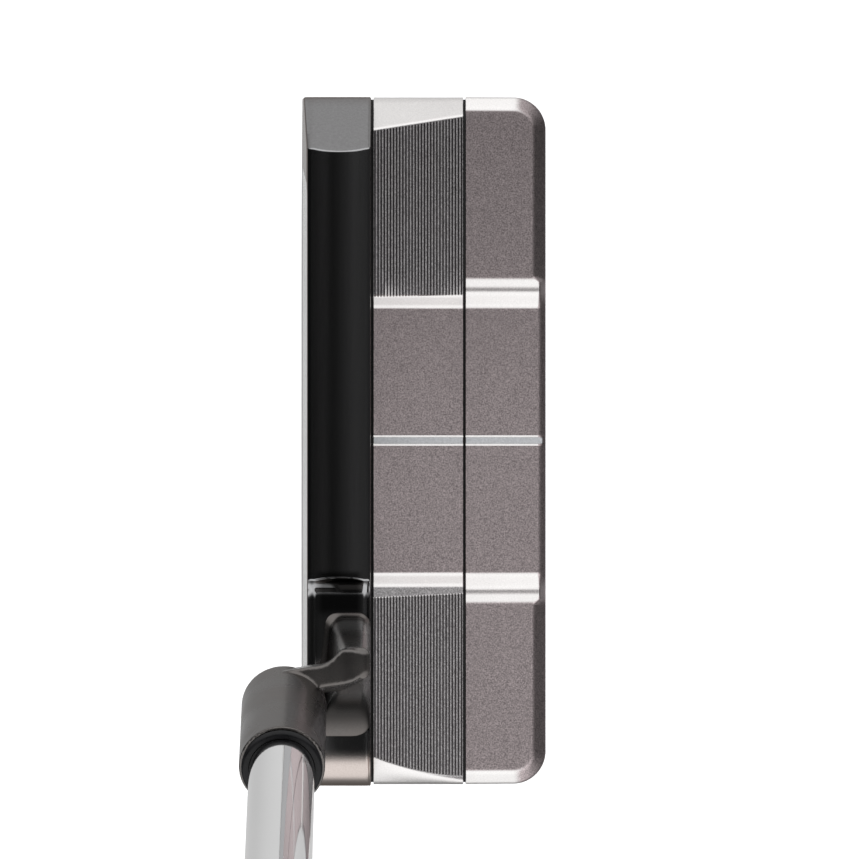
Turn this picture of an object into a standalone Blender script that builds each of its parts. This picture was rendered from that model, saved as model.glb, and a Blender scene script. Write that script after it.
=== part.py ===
"""Mallet putter: a three-section milled head, a crank neck, a stepped steel shaft and a grip.

Frame: +X runs from the striking face to the rear of the head, +Y from heel to toe, +Z up.
The origin is the centre of the flat sole plate, on the sight line. Lengths are in metres.
"""

from math import cos, pi, radians, sin, tan

import bmesh
import bpy
from mathutils import Matrix, Vector

MM = 0.001

# Driving dimensions
HEAD_LENGTH = 106.0 * MM  # heel to toe
HEAD_DEPTH = 37.9 * MM  # face to rear
LEADING_EDGE_X = -19.0 * MM
LOFT = radians(3.0)
LIE = radians(70.0)
GAP = 0.3 * MM  # between touching pieces
SEAM = 0.4 * MM  # between the three sections of the head
HALF_LENGTH = HEAD_LENGTH / 2

FRONT_DEPTH = 10.9 * MM  # striking face to the first seam
MID_START = FRONT_DEPTH + SEAM
MID_END = 25.1 * MM
REAR_START = MID_END + SEAM

TOP_LINE_HEIGHT = 24.5 * MM
CROWN = 0.9 * MM
HEEL_FLOOR = 23.2 * MM  # shelf that the neck stands on
HEEL_ROLL = 4.9 * MM  # radius of the heel's rounded end
DECK_HEIGHT = 15.3 * MM  # deck height at the first seam
DECK_FALL = 0.2  # how much the deck drops for each metre towards the rear
CENTRE_DROP = 1.7 * MM  # middle of the deck below its wings
OUTER_DROP = 0.5 * MM  # outer panels of the rear flange below its ribs
SHOULDER_TOP = 44.8 * MM  # where the toe shoulder meets the top line
SHOULDER_SLOPE = 1.6
TOE_SLOPE = 1.25  # slopes of the deck's end facets
HEEL_SLOPE = 0.86
TOE_FACET_END = 8.8 * MM  # height of each facet's outer edge
HEEL_FACET_END = 11.7 * MM
SOLE_LIFT = 0.2 * MM  # sections above the face of the sole plate
SOLE_FLAT = 24.0 * MM
SOLE_CAMBER = 3.2 * MM

FLANK_IN = 20.2 * MM  # feet and crests of the cross ribs, from the sight line
FLANK_TOP = 22.7 * MM
RIB_OUT_TOP = 23.5 * MM
RIB_OUT_FOOT = 25.3 * MM
CORNER_RADIUS = 5.0 * MM
RIM_WIDTH = 1.9 * MM  # chamfer round the rear flange
RIM_SLOPE = 1.24

SIGHT_WIDTH = 1.6 * MM
SIGHT_DEPTH = 0.6 * MM

PLATE_FRONT = 5.0 * MM
PLATE_REAR = 33.0 * MM
PLATE_HALF_LENGTH = 23.0 * MM
PLATE_THICKNESS = 1.6 * MM
PLATE_SCREW_DEPTHS = {"front": 8.2 * MM, "rear": 30.2 * MM}
PLATE_SCREW_SIDE = 17.0 * MM

WEIGHT_RADIUS = 5.2 * MM
WEIGHT_BOTTOM = 1.5 * MM
WEIGHT_LENGTH = 6.3 * MM
WEIGHT_SIDE = 36.0 * MM
WEIGHT_DEPTH = 18.2 * MM
WASHER_THICKNESS = 0.8 * MM

MOUTH = Vector((LEADING_EDGE_X - 2.1 * MM, -48.7 * MM, 62.4 * MM))  # top of the neck's socket
SHAFT_AXIS = Vector((0.0, -cos(LIE), sin(LIE)))
BARREL_RADIUS = 6.45 * MM
BARREL_LENGTH = 28.1 * MM
FERRULE_RADIUS = 6.2 * MM
SOCKET_DEPTH = 20.0 * MM
CLUB_LENGTH = 864.0 * MM
BUTT = CLUB_LENGTH - MOUTH.z / sin(LIE)  # from the mouth to the butt, along the shaft
SHAFT_TIP_RADIUS = 4.95 * MM
SHAFT_BUTT_RADIUS = 7.6 * MM
SHAFT_WALL = 0.6 * MM
SHAFT_STEPS = 14
STEP_START = 150.0 * MM
STEP_PITCH = 26.0 * MM
GRIP_LENGTH = 266.0 * MM
GRIP_START = BUTT - GRIP_LENGTH


def depth_x(depth):
    """World X of a place at this depth behind the leading edge."""
    return LEADING_EDGE_X + depth


# Materials and meshes


def make_material(name, colour, metallic, roughness):
    material = bpy.data.materials.new(name)
    material.use_nodes = True
    shader = material.node_tree.nodes["Principled BSDF"]
    shader.inputs["Base Color"].default_value = (*colour, 1.0)
    shader.inputs["Metallic"].default_value = metallic
    shader.inputs["Roughness"].default_value = roughness
    return material


def add_object(name, bm, colour=None, metallic=1.0, roughness=0.35, smooth_angle=30.0):
    """A scene object of this bmesh. One without a colour is a cutter."""
    bmesh.ops.recalc_face_normals(bm, faces=bm.faces)
    mesh = bpy.data.meshes.new(name)
    bm.to_mesh(mesh)
    bm.free()
    piece = bpy.data.objects.new(name, mesh)
    bpy.context.scene.collection.objects.link(piece)
    if colour is None:
        piece.hide_render = True
        piece.display_type = "WIRE"
    else:
        mesh.materials.append(make_material(name, colour, metallic, roughness))
        mesh.shade_smooth()
        mesh.set_sharp_from_angle(angle=radians(smooth_angle))
    return piece


def place(piece, location, direction=Vector((0.0, 0.0, 1.0))):
    """Stands a piece at a location with its own Z along a direction."""
    piece.location = location
    piece.rotation_euler = direction.to_track_quat("Z", "X").to_euler()
    return piece


def combine(target, tool, operation="DIFFERENCE"):
    change = target.modifiers.new(f"{operation} {tool.name}", "BOOLEAN")
    change.operation = operation
    change.object = tool


def loft(rings):
    """A closed body through rings of equal point counts, capped at both ends."""
    bm = bmesh.new()
    rows = [[bm.verts.new(point) for point in ring] for ring in rings]
    count = len(rows[0])
    for near, far in zip(rows, rows[1:]):
        for i in range(count):
            j = (i + 1) % count
            bm.faces.new((near[i], near[j], far[j], far[i]))
    bm.faces.new(rows[0])
    bm.faces.new(rows[-1])
    return bm


def loft_tube(outer_rings, inner_rings):
    """A closed tube between two sets of rings, with flat ends."""
    bm = bmesh.new()
    outer = [[bm.verts.new(point) for point in ring] for ring in outer_rings]
    inner = [[bm.verts.new(point) for point in ring] for ring in inner_rings]
    loop = outer + inner[::-1] + [outer[0]]
    count = len(outer[0])
    for near, far in zip(loop, loop[1:]):
        for i in range(count):
            j = (i + 1) % count
            bm.faces.new((near[i], near[j], far[j], far[i]))
    return bm


def prism(outline, axis, start, end):
    """Extrudes a flat outline along X, Y or Z. Its points hold the other two coordinates."""
    places = {
        "X": lambda a, b, along: (along, a, b),
        "Y": lambda a, b, along: (a, along, b),
        "Z": lambda a, b, along: (a, b, along),
    }
    return loft([[places[axis](a, b, along) for a, b in outline] for along in (start, end)])


def turned(profile, segments=24):
    """Spins (radius, height) points about Z. A profile off the axis closes on itself as a ring."""
    bm = bmesh.new()
    points = [bm.verts.new((radius, 0.0, height)) for radius, height in profile]
    edges = [bm.edges.new(pair) for pair in zip(points, points[1:])]
    if profile[0][0] > 0.0:
        edges.append(bm.edges.new((points[-1], points[0])))
    bmesh.ops.spin(
        bm, geom=points + edges, cent=(0, 0, 0), axis=(0, 0, 1), angle=2 * pi, steps=segments
    )
    bmesh.ops.remove_doubles(bm, verts=bm.verts, dist=1e-6)
    return bm


def cylinder(radius, bottom, top, segments=24):
    return turned([(0, bottom), (radius, bottom), (radius, top), (0, top)], segments)


def arc(centre, radius_a, radius_b, start, end, steps):
    """Points of an elliptical arc, with its angles in degrees."""
    angles = [radians(start + (end - start) * i / steps) for i in range(steps + 1)]
    return [(centre[0] + radius_a * cos(a), centre[1] + radius_b * sin(a)) for a in angles]


def rounded_rectangle(low_a, high_a, low_b, high_b, radius, steps=4):
    points = arc((high_a - radius, high_b - radius), radius, radius, 0, 90, steps)
    points += arc((low_a + radius, high_b - radius), radius, radius, 90, 180, steps)
    points += arc((low_a + radius, low_b + radius), radius, radius, 180, 270, steps)
    points += arc((high_a - radius, low_b + radius), radius, radius, 270, 360, steps)
    return points


# Shared surfaces of the head


def underside(y):
    """Height of the cambered sole at a distance along the head."""
    beyond = max(abs(y) - SOLE_FLAT, 0.0) / (HALF_LENGTH - SOLE_FLAT)
    return SOLE_LIFT + SOLE_CAMBER * beyond**2


def deck_height(depth):
    return DECK_HEIGHT - DECK_FALL * (depth - MID_START)


def eased(value, low, high):
    """0 below low, 1 above high, and a smooth curve between."""
    share = min(max((value - low) / (high - low), 0.0), 1.0)
    return share * share * (3.0 - 2.0 * share)


def mid_relief(y):
    """Deck height of the middle section relative to its wings."""
    return -CENTRE_DROP * (1.0 - eased(abs(y), FLANK_IN, FLANK_TOP))


def rear_relief(y):
    """Deck height of the rear flange relative to the crests of its ribs."""
    if abs(y) > FLANK_TOP:
        return -OUTER_DROP * eased(abs(y), RIB_OUT_TOP, RIB_OUT_FOOT)
    return mid_relief(y)


def flank_places(low, high, steps=6):
    return [low + (high - low) * i / steps for i in range(steps + 1)]


def underside_row(low, high, steps=16):
    """Points of the sole from one end of the head to the other."""
    places = [low + (high - low) * i / steps for i in range(steps + 1)]
    return [(y, underside(y)) for y in places]


# Head


def build_front_body():
    """The blade: a side view with both shoulders, cut to a lofted and crowned section."""
    above = TOP_LINE_HEIGHT + 3 * MM
    toe_end = [(HALF_LENGTH, 10.6 * MM), (52.75 * MM, 11.4 * MM), (52.2 * MM, 12.6 * MM)]
    scoop = [(-19.7 * MM, above), (-20.5 * MM, 26.4 * MM), (-21.3 * MM, 25.0 * MM)]
    scoop += [(-22.3 * MM, 23.8 * MM), (-23.9 * MM, HEEL_FLOOR)]
    side = underside_row(-HALF_LENGTH, HALF_LENGTH) + toe_end
    side.append((SHOULDER_TOP - (above - TOP_LINE_HEIGHT) / SHOULDER_SLOPE, above))
    side += scoop
    roll = HEEL_ROLL
    side += arc((roll - HALF_LENGTH, HEEL_FLOOR - roll), roll, roll, 90, 180, 6)
    body = add_object(
        "front_body",
        prism(side, "X", depth_x(-2 * MM), depth_x(FRONT_DEPTH + 2 * MM)),
        (0.02, 0.02, 0.022),
        1.0,
        0.18,
    )

    def face_at(height):
        return depth_x(height * tan(LOFT))

    section = [(depth_x(0.9 * MM), SOLE_LIFT), (depth_x(FRONT_DEPTH), SOLE_LIFT)]
    section += [(depth_x(FRONT_DEPTH), TOP_LINE_HEIGHT - 0.5 * MM)]
    crown_start = face_at(TOP_LINE_HEIGHT) + 0.5 * MM
    crown_end = depth_x(FRONT_DEPTH - 0.4 * MM)
    for i in range(9):
        share = i / 8
        x = crown_end + (crown_start - crown_end) * share
        section.append((x, TOP_LINE_HEIGHT + CROWN * (1 - (2 * share - 1) ** 2)))
    section += [(face_at(TOP_LINE_HEIGHT - 0.6 * MM), TOP_LINE_HEIGHT - 0.6 * MM)]
    section += [(face_at(1.2 * MM), 1.2 * MM), (depth_x(0.3 * MM), 0.5 * MM)]
    shape = add_object("front_section", prism(section, "Y", -HALF_LENGTH * 1.1, HALF_LENGTH * 1.1))
    combine(body, shape, "INTERSECT")
    return body


INSERT_THICKNESS = 3.0 * MM
INSERT_LOW = 2.8 * MM  # lower and upper edges, up the face
INSERT_HIGH = 22.0 * MM
INSERT_HALF_LOW = 42.4 * MM  # half lengths along those edges
INSERT_HALF_HIGH = 39.4 * MM
BACKING_THICKNESS = 0.6 * MM


def insert_outline(grow):
    """The face insert's outline as (y, height up the face), with both ends slanted."""
    low = INSERT_LOW - grow
    high = INSERT_HIGH + grow
    toe_low, toe_high = INSERT_HALF_LOW + grow, INSERT_HALF_HIGH + grow
    heel_low, heel_high = -toe_low, -toe_high
    cut = 2.0 * MM  # cut-off corners
    return [
        (heel_low + cut, low),
        (toe_low - cut, low),
        (toe_low, low + cut),
        (toe_high, high - cut),
        (toe_high - cut, high),
        (heel_high + cut, high),
        (heel_high, high - cut),
        (heel_low, low + cut),
    ]


def lay_on_face(piece):
    """Leans a piece back by the loft, about the leading edge."""
    piece.location = (LEADING_EDGE_X, 0.0, 0.0)
    piece.rotation_euler = (0.0, LOFT, 0.0)
    return piece


def build_insert(front_body):
    lay_on_face(
        add_object(
            "face_insert",
            prism(insert_outline(0.0), "X", 0.05 * MM, INSERT_THICKNESS),
            (0.62, 0.62, 0.61),
            1.0,
            0.4,
        )
    )
    backing_front = INSERT_THICKNESS + GAP
    backing_rear = backing_front + BACKING_THICKNESS
    lay_on_face(
        add_object(
            "insert_backing",
            prism(insert_outline(-0.5 * MM), "X", backing_front, backing_rear),
            (0.03, 0.03, 0.03),
            0.0,
            0.7,
        )
    )
    pocket = prism(insert_outline(GAP), "X", -2 * MM, backing_rear + GAP)
    combine(front_body, lay_on_face(add_object("insert_pocket", pocket)))


def mid_section(depth):
    """One cross-section of the middle section, with a sloped facet at the toe and the heel."""
    top = deck_height(depth)
    toe_edge = HALF_LENGTH - (top - TOE_FACET_END) / TOE_SLOPE
    heel_edge = -HALF_LENGTH + (top - HEEL_FACET_END) / HEEL_SLOPE
    flank = flank_places(FLANK_IN, FLANK_TOP)
    ring = underside_row(-HALF_LENGTH, HALF_LENGTH)
    ring += [(HALF_LENGTH, TOE_FACET_END), (toe_edge, top)]
    ring += [(y, top + mid_relief(y)) for y in flank[::-1]]
    ring += [(-y, top + mid_relief(y)) for y in flank]
    ring += [(heel_edge, top), (-HALF_LENGTH, HEEL_FACET_END)]
    return [(depth_x(depth), y, z) for y, z in ring]


def build_mid_deck():
    rings = [mid_section(depth) for depth in (MID_START, MID_END)]
    return add_object("mid_deck", loft(rings), (0.24, 0.21, 0.205), 1.0, 0.42)


TAIL_START = 30.0 * MM  # where the sole starts to rise towards the rear
TAIL_RISE = 0.12


def flange_section(depth):
    """One cross-section of the rear flange, narrowed by its round corners."""
    into_corner = max(depth - (HEAD_DEPTH - CORNER_RADIUS), 0.0)
    half = HALF_LENGTH - CORNER_RADIUS + (CORNER_RADIUS**2 - into_corner**2) ** 0.5
    top = deck_height(depth)
    panel = top - OUTER_DROP - RIM_SLOPE * max(depth - (HEAD_DEPTH - RIM_WIDTH), 0.0)
    rise = TAIL_RISE * max(depth - TAIL_START, 0.0)

    def height_at(y):
        above_panel = max(rear_relief(y) + OUTER_DROP, 0.0)
        return min(top + rear_relief(y), panel + above_panel)

    flank = flank_places(FLANK_IN, FLANK_TOP) + flank_places(RIB_OUT_TOP, RIB_OUT_FOOT, 4)
    ring = [(y, z + rise) for y, z in underside_row(-half, half)]
    ring += [(half, panel - RIM_SLOPE * RIM_WIDTH), (half - RIM_WIDTH, panel)]
    ring += [(y, height_at(y)) for y in flank[::-1]]
    ring += [(-y, height_at(y)) for y in flank]
    ring += [(RIM_WIDTH - half, panel), (-half, panel - RIM_SLOPE * RIM_WIDTH)]
    return [(depth_x(depth), y, z) for y, z in ring]


def build_rear_flange():
    corner = [HEAD_DEPTH - CORNER_RADIUS * (1 - sin(radians(a))) for a in (0, 22, 40, 55, 68, 80)]
    centre_edge = HEAD_DEPTH - RIM_WIDTH + (CENTRE_DROP - OUTER_DROP) / RIM_SLOPE
    chamfer = [HEAD_DEPTH - RIM_WIDTH, centre_edge, HEAD_DEPTH - 0.02 * MM]
    depths = sorted([REAR_START, TAIL_START, *corner, *chamfer])
    rings = [flange_section(depth) for depth in depths]
    return add_object("rear_flange", loft(rings), (0.26, 0.23, 0.225), 1.0, 0.4)


def build_sight_line(name, section, start, end):
    """A paint-filled groove across the deck and the inlay in it."""

    def strip(width, below, above, first, last):
        rings = []
        for depth in (first, last):
            level = deck_height(depth) - CENTRE_DROP
            corners = [(-width / 2, level - below), (width / 2, level - below)]
            corners += [(width / 2, level + above), (-width / 2, level + above)]
            rings.append([(depth_x(depth), y, z) for y, z in corners])
        return loft(rings)

    inlay_width = SIGHT_WIDTH - 2 * GAP
    inlay = strip(inlay_width, SIGHT_DEPTH - GAP, 0.0, start + GAP, end - GAP)
    add_object(name, inlay, (0.85, 0.86, 0.88), 0.0, 0.35)
    groove = strip(SIGHT_WIDTH, SIGHT_DEPTH, 2 * MM, start - 2 * MM, end + 2 * MM)
    combine(section, add_object(f"{name}_groove", groove))


# Sole hardware


def build_sole_plate(sections):
    """A plate that ties the three sections together, in a pocket cut across them."""
    front, rear = depth_x(PLATE_FRONT), depth_x(PLATE_REAR)
    half = PLATE_HALF_LENGTH
    outline = rounded_rectangle(front, rear, -half, half, 4 * MM)
    plate = add_object(
        "sole_plate", prism(outline, "Z", 0.0, PLATE_THICKNESS), (0.42, 0.42, 0.43), 1.0, 0.35
    )
    wide = rounded_rectangle(front - GAP, rear + GAP, -half - GAP, half + GAP, 4 * MM + GAP)
    pocket = add_object("sole_pocket", prism(wide, "Z", -2 * MM, PLATE_THICKNESS + GAP))
    for section in sections:
        combine(section, pocket)
    return plate


def countersunk_screw(head_radius, shank_radius, length, socket_radius):
    """A flat-headed screw whose head is at its own origin and whose shank rises along +Z."""
    head_height = head_radius - shank_radius
    profile = [(0, 1.0 * MM), (socket_radius, 1.0 * MM), (socket_radius, 0), (head_radius, 0)]
    profile += [(head_radius, 0.2 * MM), (shank_radius, head_height + 0.2 * MM)]
    profile += [(shank_radius, length - 0.4 * MM), (shank_radius - 0.4 * MM, length), (0, length)]
    return turned(profile, 20)


def countersunk_hole(head_radius, shank_radius, length, below):
    """The hole for that screw, open this far below its origin."""
    head_height = head_radius - shank_radius
    profile = [(0, -below), (head_radius + GAP, -below), (head_radius + GAP, 0.2 * MM)]
    profile += [(shank_radius + GAP, head_height + 0.2 * MM), (shank_radius + GAP, length + GAP)]
    profile.append((0, length + GAP))
    return turned(profile, 20)


def build_plate_screws(plate, front_body, rear_flange):
    head_radius, shank_radius, length = 2.3 * MM, 1.3 * MM, 6.0 * MM
    owners = {"front": front_body, "rear": rear_flange}
    for row, depth in PLATE_SCREW_DEPTHS.items():
        for end, side in (("toe", 1), ("heel", -1)):
            name = f"sole_screw_{row}_{end}"
            spot = Vector((depth_x(depth), side * PLATE_SCREW_SIDE, 0.15 * MM))
            screw = countersunk_screw(head_radius, shank_radius, length, 0.9 * MM)
            place(add_object(name, screw, (0.32, 0.32, 0.33), 1.0, 0.3), spot)
            hole = countersunk_hole(head_radius, shank_radius, length, 4 * MM)
            hole = place(add_object(f"{name}_hole", hole), spot)
            combine(plate, hole)
            combine(owners[row], hole)


def build_weights(mid_deck):
    """Two removable sole weights, each against a soft washer at the top of its seat."""
    top = WEIGHT_LENGTH
    drive_radius, drive_depth = 1.5 * MM, 1.6 * MM
    bevel = 0.4 * MM
    profile = [(0, drive_depth), (drive_radius, drive_depth), (drive_radius, 0)]
    profile += [(WEIGHT_RADIUS - bevel, 0), (WEIGHT_RADIUS, bevel)]
    profile += [(WEIGHT_RADIUS, top - bevel), (WEIGHT_RADIUS - bevel, top), (0, top)]
    washer_bottom = WEIGHT_LENGTH + GAP
    washer_top = washer_bottom + WASHER_THICKNESS
    bore, rim = 2.0 * MM, 4.8 * MM
    washer = [(bore, washer_bottom), (rim, washer_bottom), (rim, washer_top), (bore, washer_top)]
    for end, side in (("toe", 1), ("heel", -1)):
        spot = Vector((depth_x(WEIGHT_DEPTH), side * WEIGHT_SIDE, WEIGHT_BOTTOM))
        weight = add_object(f"{end}_weight", turned(profile), (0.5, 0.5, 0.5), 1.0, 0.3)
        place(weight, spot)
        ring = add_object(f"{end}_weight_washer", turned(washer), (0.02, 0.02, 0.02), 0.0, 0.8)
        place(ring, spot)
        seat = cylinder(WEIGHT_RADIUS + GAP, -6 * MM, washer_top + GAP)
        combine(mid_deck, place(add_object(f"{end}_weight_seat", seat), spot))


# Neck, shaft and grip

POST_FRONT = 4.7 * MM  # depth of the post's front face at its base
POST_TOP = 41.0 * MM
FLARE_START = -38.0 * MM  # where the post's front face starts to spread towards its heel end
POST_FLARE = 0.35
NECK_SCREW_SPOT = Vector((depth_x(7.9 * MM), -35.6 * MM, 11.0 * MM))
NECK_SCREW_LENGTH = 20.0 * MM
ARM_STATIONS = (
    (10.8, -34.2, -32.6, 33.0, 40.6),
    (10.2, -35.2, -32.0, 32.0, 41.2),
    (8.6, -36.4, -31.6, 31.0, 41.6),
    (6.8, -36.9, -31.6, 31.0, 41.9),
    (5.4, -37.1, -32.9, 31.0, 42.2),
    (4.0, -37.3, -33.8, 31.0, 42.5),
    (1.4, -37.8, -34.2, 31.0, 43.1),
    (-2.1, -38.6, -34.8, 32.0, 43.6),
)  # depth, heel side, toe side, underside and top, in millimetres


def post_ring(height):
    """The neck's post at a height: wide where it leaves the heel, slim under the arm."""
    share = (height - HEEL_FLOOR) / (POST_TOP - HEEL_FLOOR)
    toe_side = -26.9 * MM - 4.4 * MM * share
    heel_side = -36.1 * MM - 5.2 * MM * (1.0 - share) ** 1.3 - 4.6 * MM * (1.0 - share) ** 4
    front = depth_x(POST_FRONT + 1.9 * MM * share)
    corner = (1.25 + 0.9 * (1.0 - share) ** 4) * MM
    rear = depth_x(FRONT_DEPTH)
    ring = []
    for x, y in rounded_rectangle(front, rear, heel_side, toe_side, corner, 3):
        flare = POST_FLARE * max(FLARE_START - y, 0.0) * (rear - x) / (rear - front)
        ring.append((x - flare, y, height))
    return ring


def arm_ring(station):
    depth, heel_side, toe_side, low, high = (value * MM for value in station)
    outline = rounded_rectangle(heel_side, toe_side, low, high, 1.1 * MM, 3)
    return [(depth_x(depth), y, z) for y, z in outline]


def build_neck(front_body):
    """A post on the heel, an arm reaching past the face, and the leaning socket for the shaft."""
    heights = (0.0, 0.05, 0.12, 0.22, 0.4, 0.65, 1.0)
    base = HEEL_FLOOR + GAP
    rings = [post_ring(base + (POST_TOP - base) * share) for share in heights]
    neck = add_object("hosel_neck", loft(rings), (0.1, 0.095, 0.093), 1.0, 0.35)

    arm_shape = [arm_ring(station) for station in ARM_STATIONS]
    combine(neck, add_object("neck_arm", loft(arm_shape)), "UNION")

    bottom = -BARREL_LENGTH
    barrel = [(0, bottom), (3.2 * MM, bottom), (5.2 * MM, bottom + 0.9 * MM)]
    barrel += [(BARREL_RADIUS, bottom + 3.0 * MM), (BARREL_RADIUS, 0), (0, 0)]
    barrel_body = add_object("neck_barrel", turned(barrel, 32))
    combine(neck, place(barrel_body, MOUTH, SHAFT_AXIS), "UNION")
    socket = cylinder(SHAFT_TIP_RADIUS + GAP, -SOCKET_DEPTH - GAP, 5 * MM, 32)
    combine(neck, place(add_object("neck_socket", socket), MOUTH, SHAFT_AXIS))

    head_radius, shank_radius = 2.6 * MM, 1.6 * MM
    screw = countersunk_screw(head_radius, shank_radius, NECK_SCREW_LENGTH, 1.2 * MM)
    place(add_object("neck_screw", screw, (0.3, 0.3, 0.31), 1.0, 0.3), NECK_SCREW_SPOT)
    hole = countersunk_hole(head_radius, shank_radius, NECK_SCREW_LENGTH, 15 * MM)
    hole_object = place(add_object("neck_screw_hole", hole), NECK_SCREW_SPOT)
    combine(neck, hole_object)
    combine(front_body, hole_object)


def build_ferrule():
    inner = SHAFT_TIP_RADIUS + GAP
    profile = [(inner, GAP), (FERRULE_RADIUS, GAP), (FERRULE_RADIUS, 0.7 * MM)]
    profile += [(FERRULE_RADIUS - 0.4 * MM, 1.1 * MM), (inner, 1.2 * MM)]
    ring = add_object("ferrule", turned(profile, 32), (0.012, 0.012, 0.013), 0.0, 0.12)
    place(ring, MOUTH, SHAFT_AXIS)


def build_shaft():
    """A steel tube, parallel at the tip, stepped up to a parallel butt under the grip."""
    outer = [(SHAFT_TIP_RADIUS, -SOCKET_DEPTH)]
    rise = (SHAFT_BUTT_RADIUS - SHAFT_TIP_RADIUS) / SHAFT_STEPS
    for step in range(SHAFT_STEPS):
        along = STEP_START + step * STEP_PITCH
        outer.append((SHAFT_TIP_RADIUS + step * rise, along))
        outer.append((SHAFT_TIP_RADIUS + (step + 1) * rise, along + 1.5 * MM))
    shaft_top = BUTT - 3.5 * MM
    outer.append((SHAFT_BUTT_RADIUS, shaft_top))
    inner = [(SHAFT_BUTT_RADIUS - SHAFT_WALL, shaft_top)]
    inner.append((SHAFT_BUTT_RADIUS - SHAFT_WALL, STEP_START + SHAFT_STEPS * STEP_PITCH))
    inner.append((SHAFT_TIP_RADIUS - SHAFT_WALL, STEP_START))
    inner.append((SHAFT_TIP_RADIUS - SHAFT_WALL, -SOCKET_DEPTH))
    tube = add_object("shaft", turned(outer + inner, 28), (0.8, 0.8, 0.8), 1.0, 0.06)
    place(tube, MOUTH, SHAFT_AXIS)


def grip_ring(along, width, front, back, segments=28):
    """A pistol grip's cross-section: a flatter front for the thumbs and a deep round back."""
    ring = []
    for i in range(segments):
        angle = 2 * pi * i / segments
        across, out = cos(angle), sin(angle)
        squeeze = 1.0 + 0.12 * max(out, 0.0)
        reach = front * out**0.7 if out > 0 else back * out
        ring.append((width * across * squeeze, reach, along))
    return ring


def lay_on_shaft(piece):
    """Puts a piece at the mouth of the neck, with its Z up the shaft and its Y to the thumbs."""
    front = Vector((0.0, sin(LIE), cos(LIE)))
    turn = Matrix((Vector((1.0, 0.0, 0.0)), front, SHAFT_AXIS)).transposed()
    piece.location = MOUTH
    piece.rotation_euler = turn.to_euler()
    return piece


GRIP_BORE = SHAFT_BUTT_RADIUS + 3 * GAP
GRIP_STATIONS = (
    (0.0, 9.6, 9.4, 9.6),
    (6.0, 10.4, 10.0, 10.4),
    (60.0, 11.3, 10.3, 11.4),
    (130.0, 12.2, 10.6, 12.6),
    (180.0, 12.6, 10.8, 13.6),
    (215.0, 13.0, 10.9, 15.4),
    (240.0, 13.4, 11.0, 17.0),
    (256.0, 13.5, 11.0, 17.4),
    (263.0, 13.3, 10.8, 17.0),
)  # distance from the mouth, half width, front and back reach, in millimetres


def build_grip():
    outer = []
    for along, width, front, back in GRIP_STATIONS:
        outer.append(grip_ring(GRIP_START + along * MM, width * MM, front * MM, back * MM))
    inner = []
    for along, *_ in GRIP_STATIONS:
        ring = grip_ring(GRIP_START + along * MM, GRIP_BORE, GRIP_BORE, GRIP_BORE)
        inner.append([(*(Vector((x, y)).normalized() * GRIP_BORE), z) for x, y, z in ring])
    grip = add_object("grip", loft_tube(outer, inner), (0.03, 0.03, 0.032), 0.0, 0.7)
    lay_on_shaft(grip)

    tape_inner = SHAFT_BUTT_RADIUS + GAP
    tape_outer = GRIP_BORE - GAP
    tape_start, tape_end = GRIP_START + 4 * MM, GRIP_START + 260 * MM
    profile = [(tape_inner, tape_start), (tape_outer, tape_start)]
    profile += [(tape_outer, tape_end), (tape_inner, tape_end)]
    lay_on_shaft(add_object("grip_tape", turned(profile), (0.6, 0.58, 0.5), 0.0, 0.8))


def build_grip_cap():
    last = GRIP_STATIONS[-1]
    start = GRIP_START + last[0] * MM + GAP
    rings = []
    for along, shrink in ((0.0, 0.2), (1.2, 0.4), (2.2, 1.4), (2.7, 3.6)):
        size = [(value - shrink) * MM for value in last[1:]]
        rings.append(grip_ring(start + along * MM, *size))
    cap = lay_on_shaft(add_object("grip_cap", loft(rings), (0.02, 0.02, 0.02), 0.0, 0.5))
    stem = add_object("cap_stem", cylinder(6.4 * MM, start - 10 * MM, start + 1 * MM))
    combine(cap, lay_on_shaft(stem), "UNION")
    vent = add_object("cap_vent", cylinder(0.9 * MM, start - 12 * MM, start + 5 * MM, 12))
    combine(cap, lay_on_shaft(vent))


def build_putter():
    front_body = build_front_body()
    build_insert(front_body)
    mid_deck = build_mid_deck()
    rear_flange = build_rear_flange()
    build_sight_line("sight_line_mid", mid_deck, MID_START, MID_END)
    build_sight_line("sight_line_rear", rear_flange, REAR_START, HEAD_DEPTH - 0.7 * MM)
    plate = build_sole_plate((front_body, mid_deck, rear_flange))
    build_plate_screws(plate, front_body, rear_flange)
    build_weights(mid_deck)
    build_neck(front_body)
    build_ferrule()
    build_shaft()
    build_grip()
    build_grip_cap()


for old in list(bpy.data.objects):
    bpy.data.objects.remove(old, do_unlink=True)
build_putter()
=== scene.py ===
"""Looks for the mallet putter: fine meshes, materials, floor, light and camera.

Frame: +X runs from the striking face to the rear of the head, +Y from heel to toe, +Z up.
Lengths are in metres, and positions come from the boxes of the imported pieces.
"""

from math import cos, pi, radians, sin, tan

import bmesh
import bpy
from mathutils import Matrix, Vector


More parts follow.
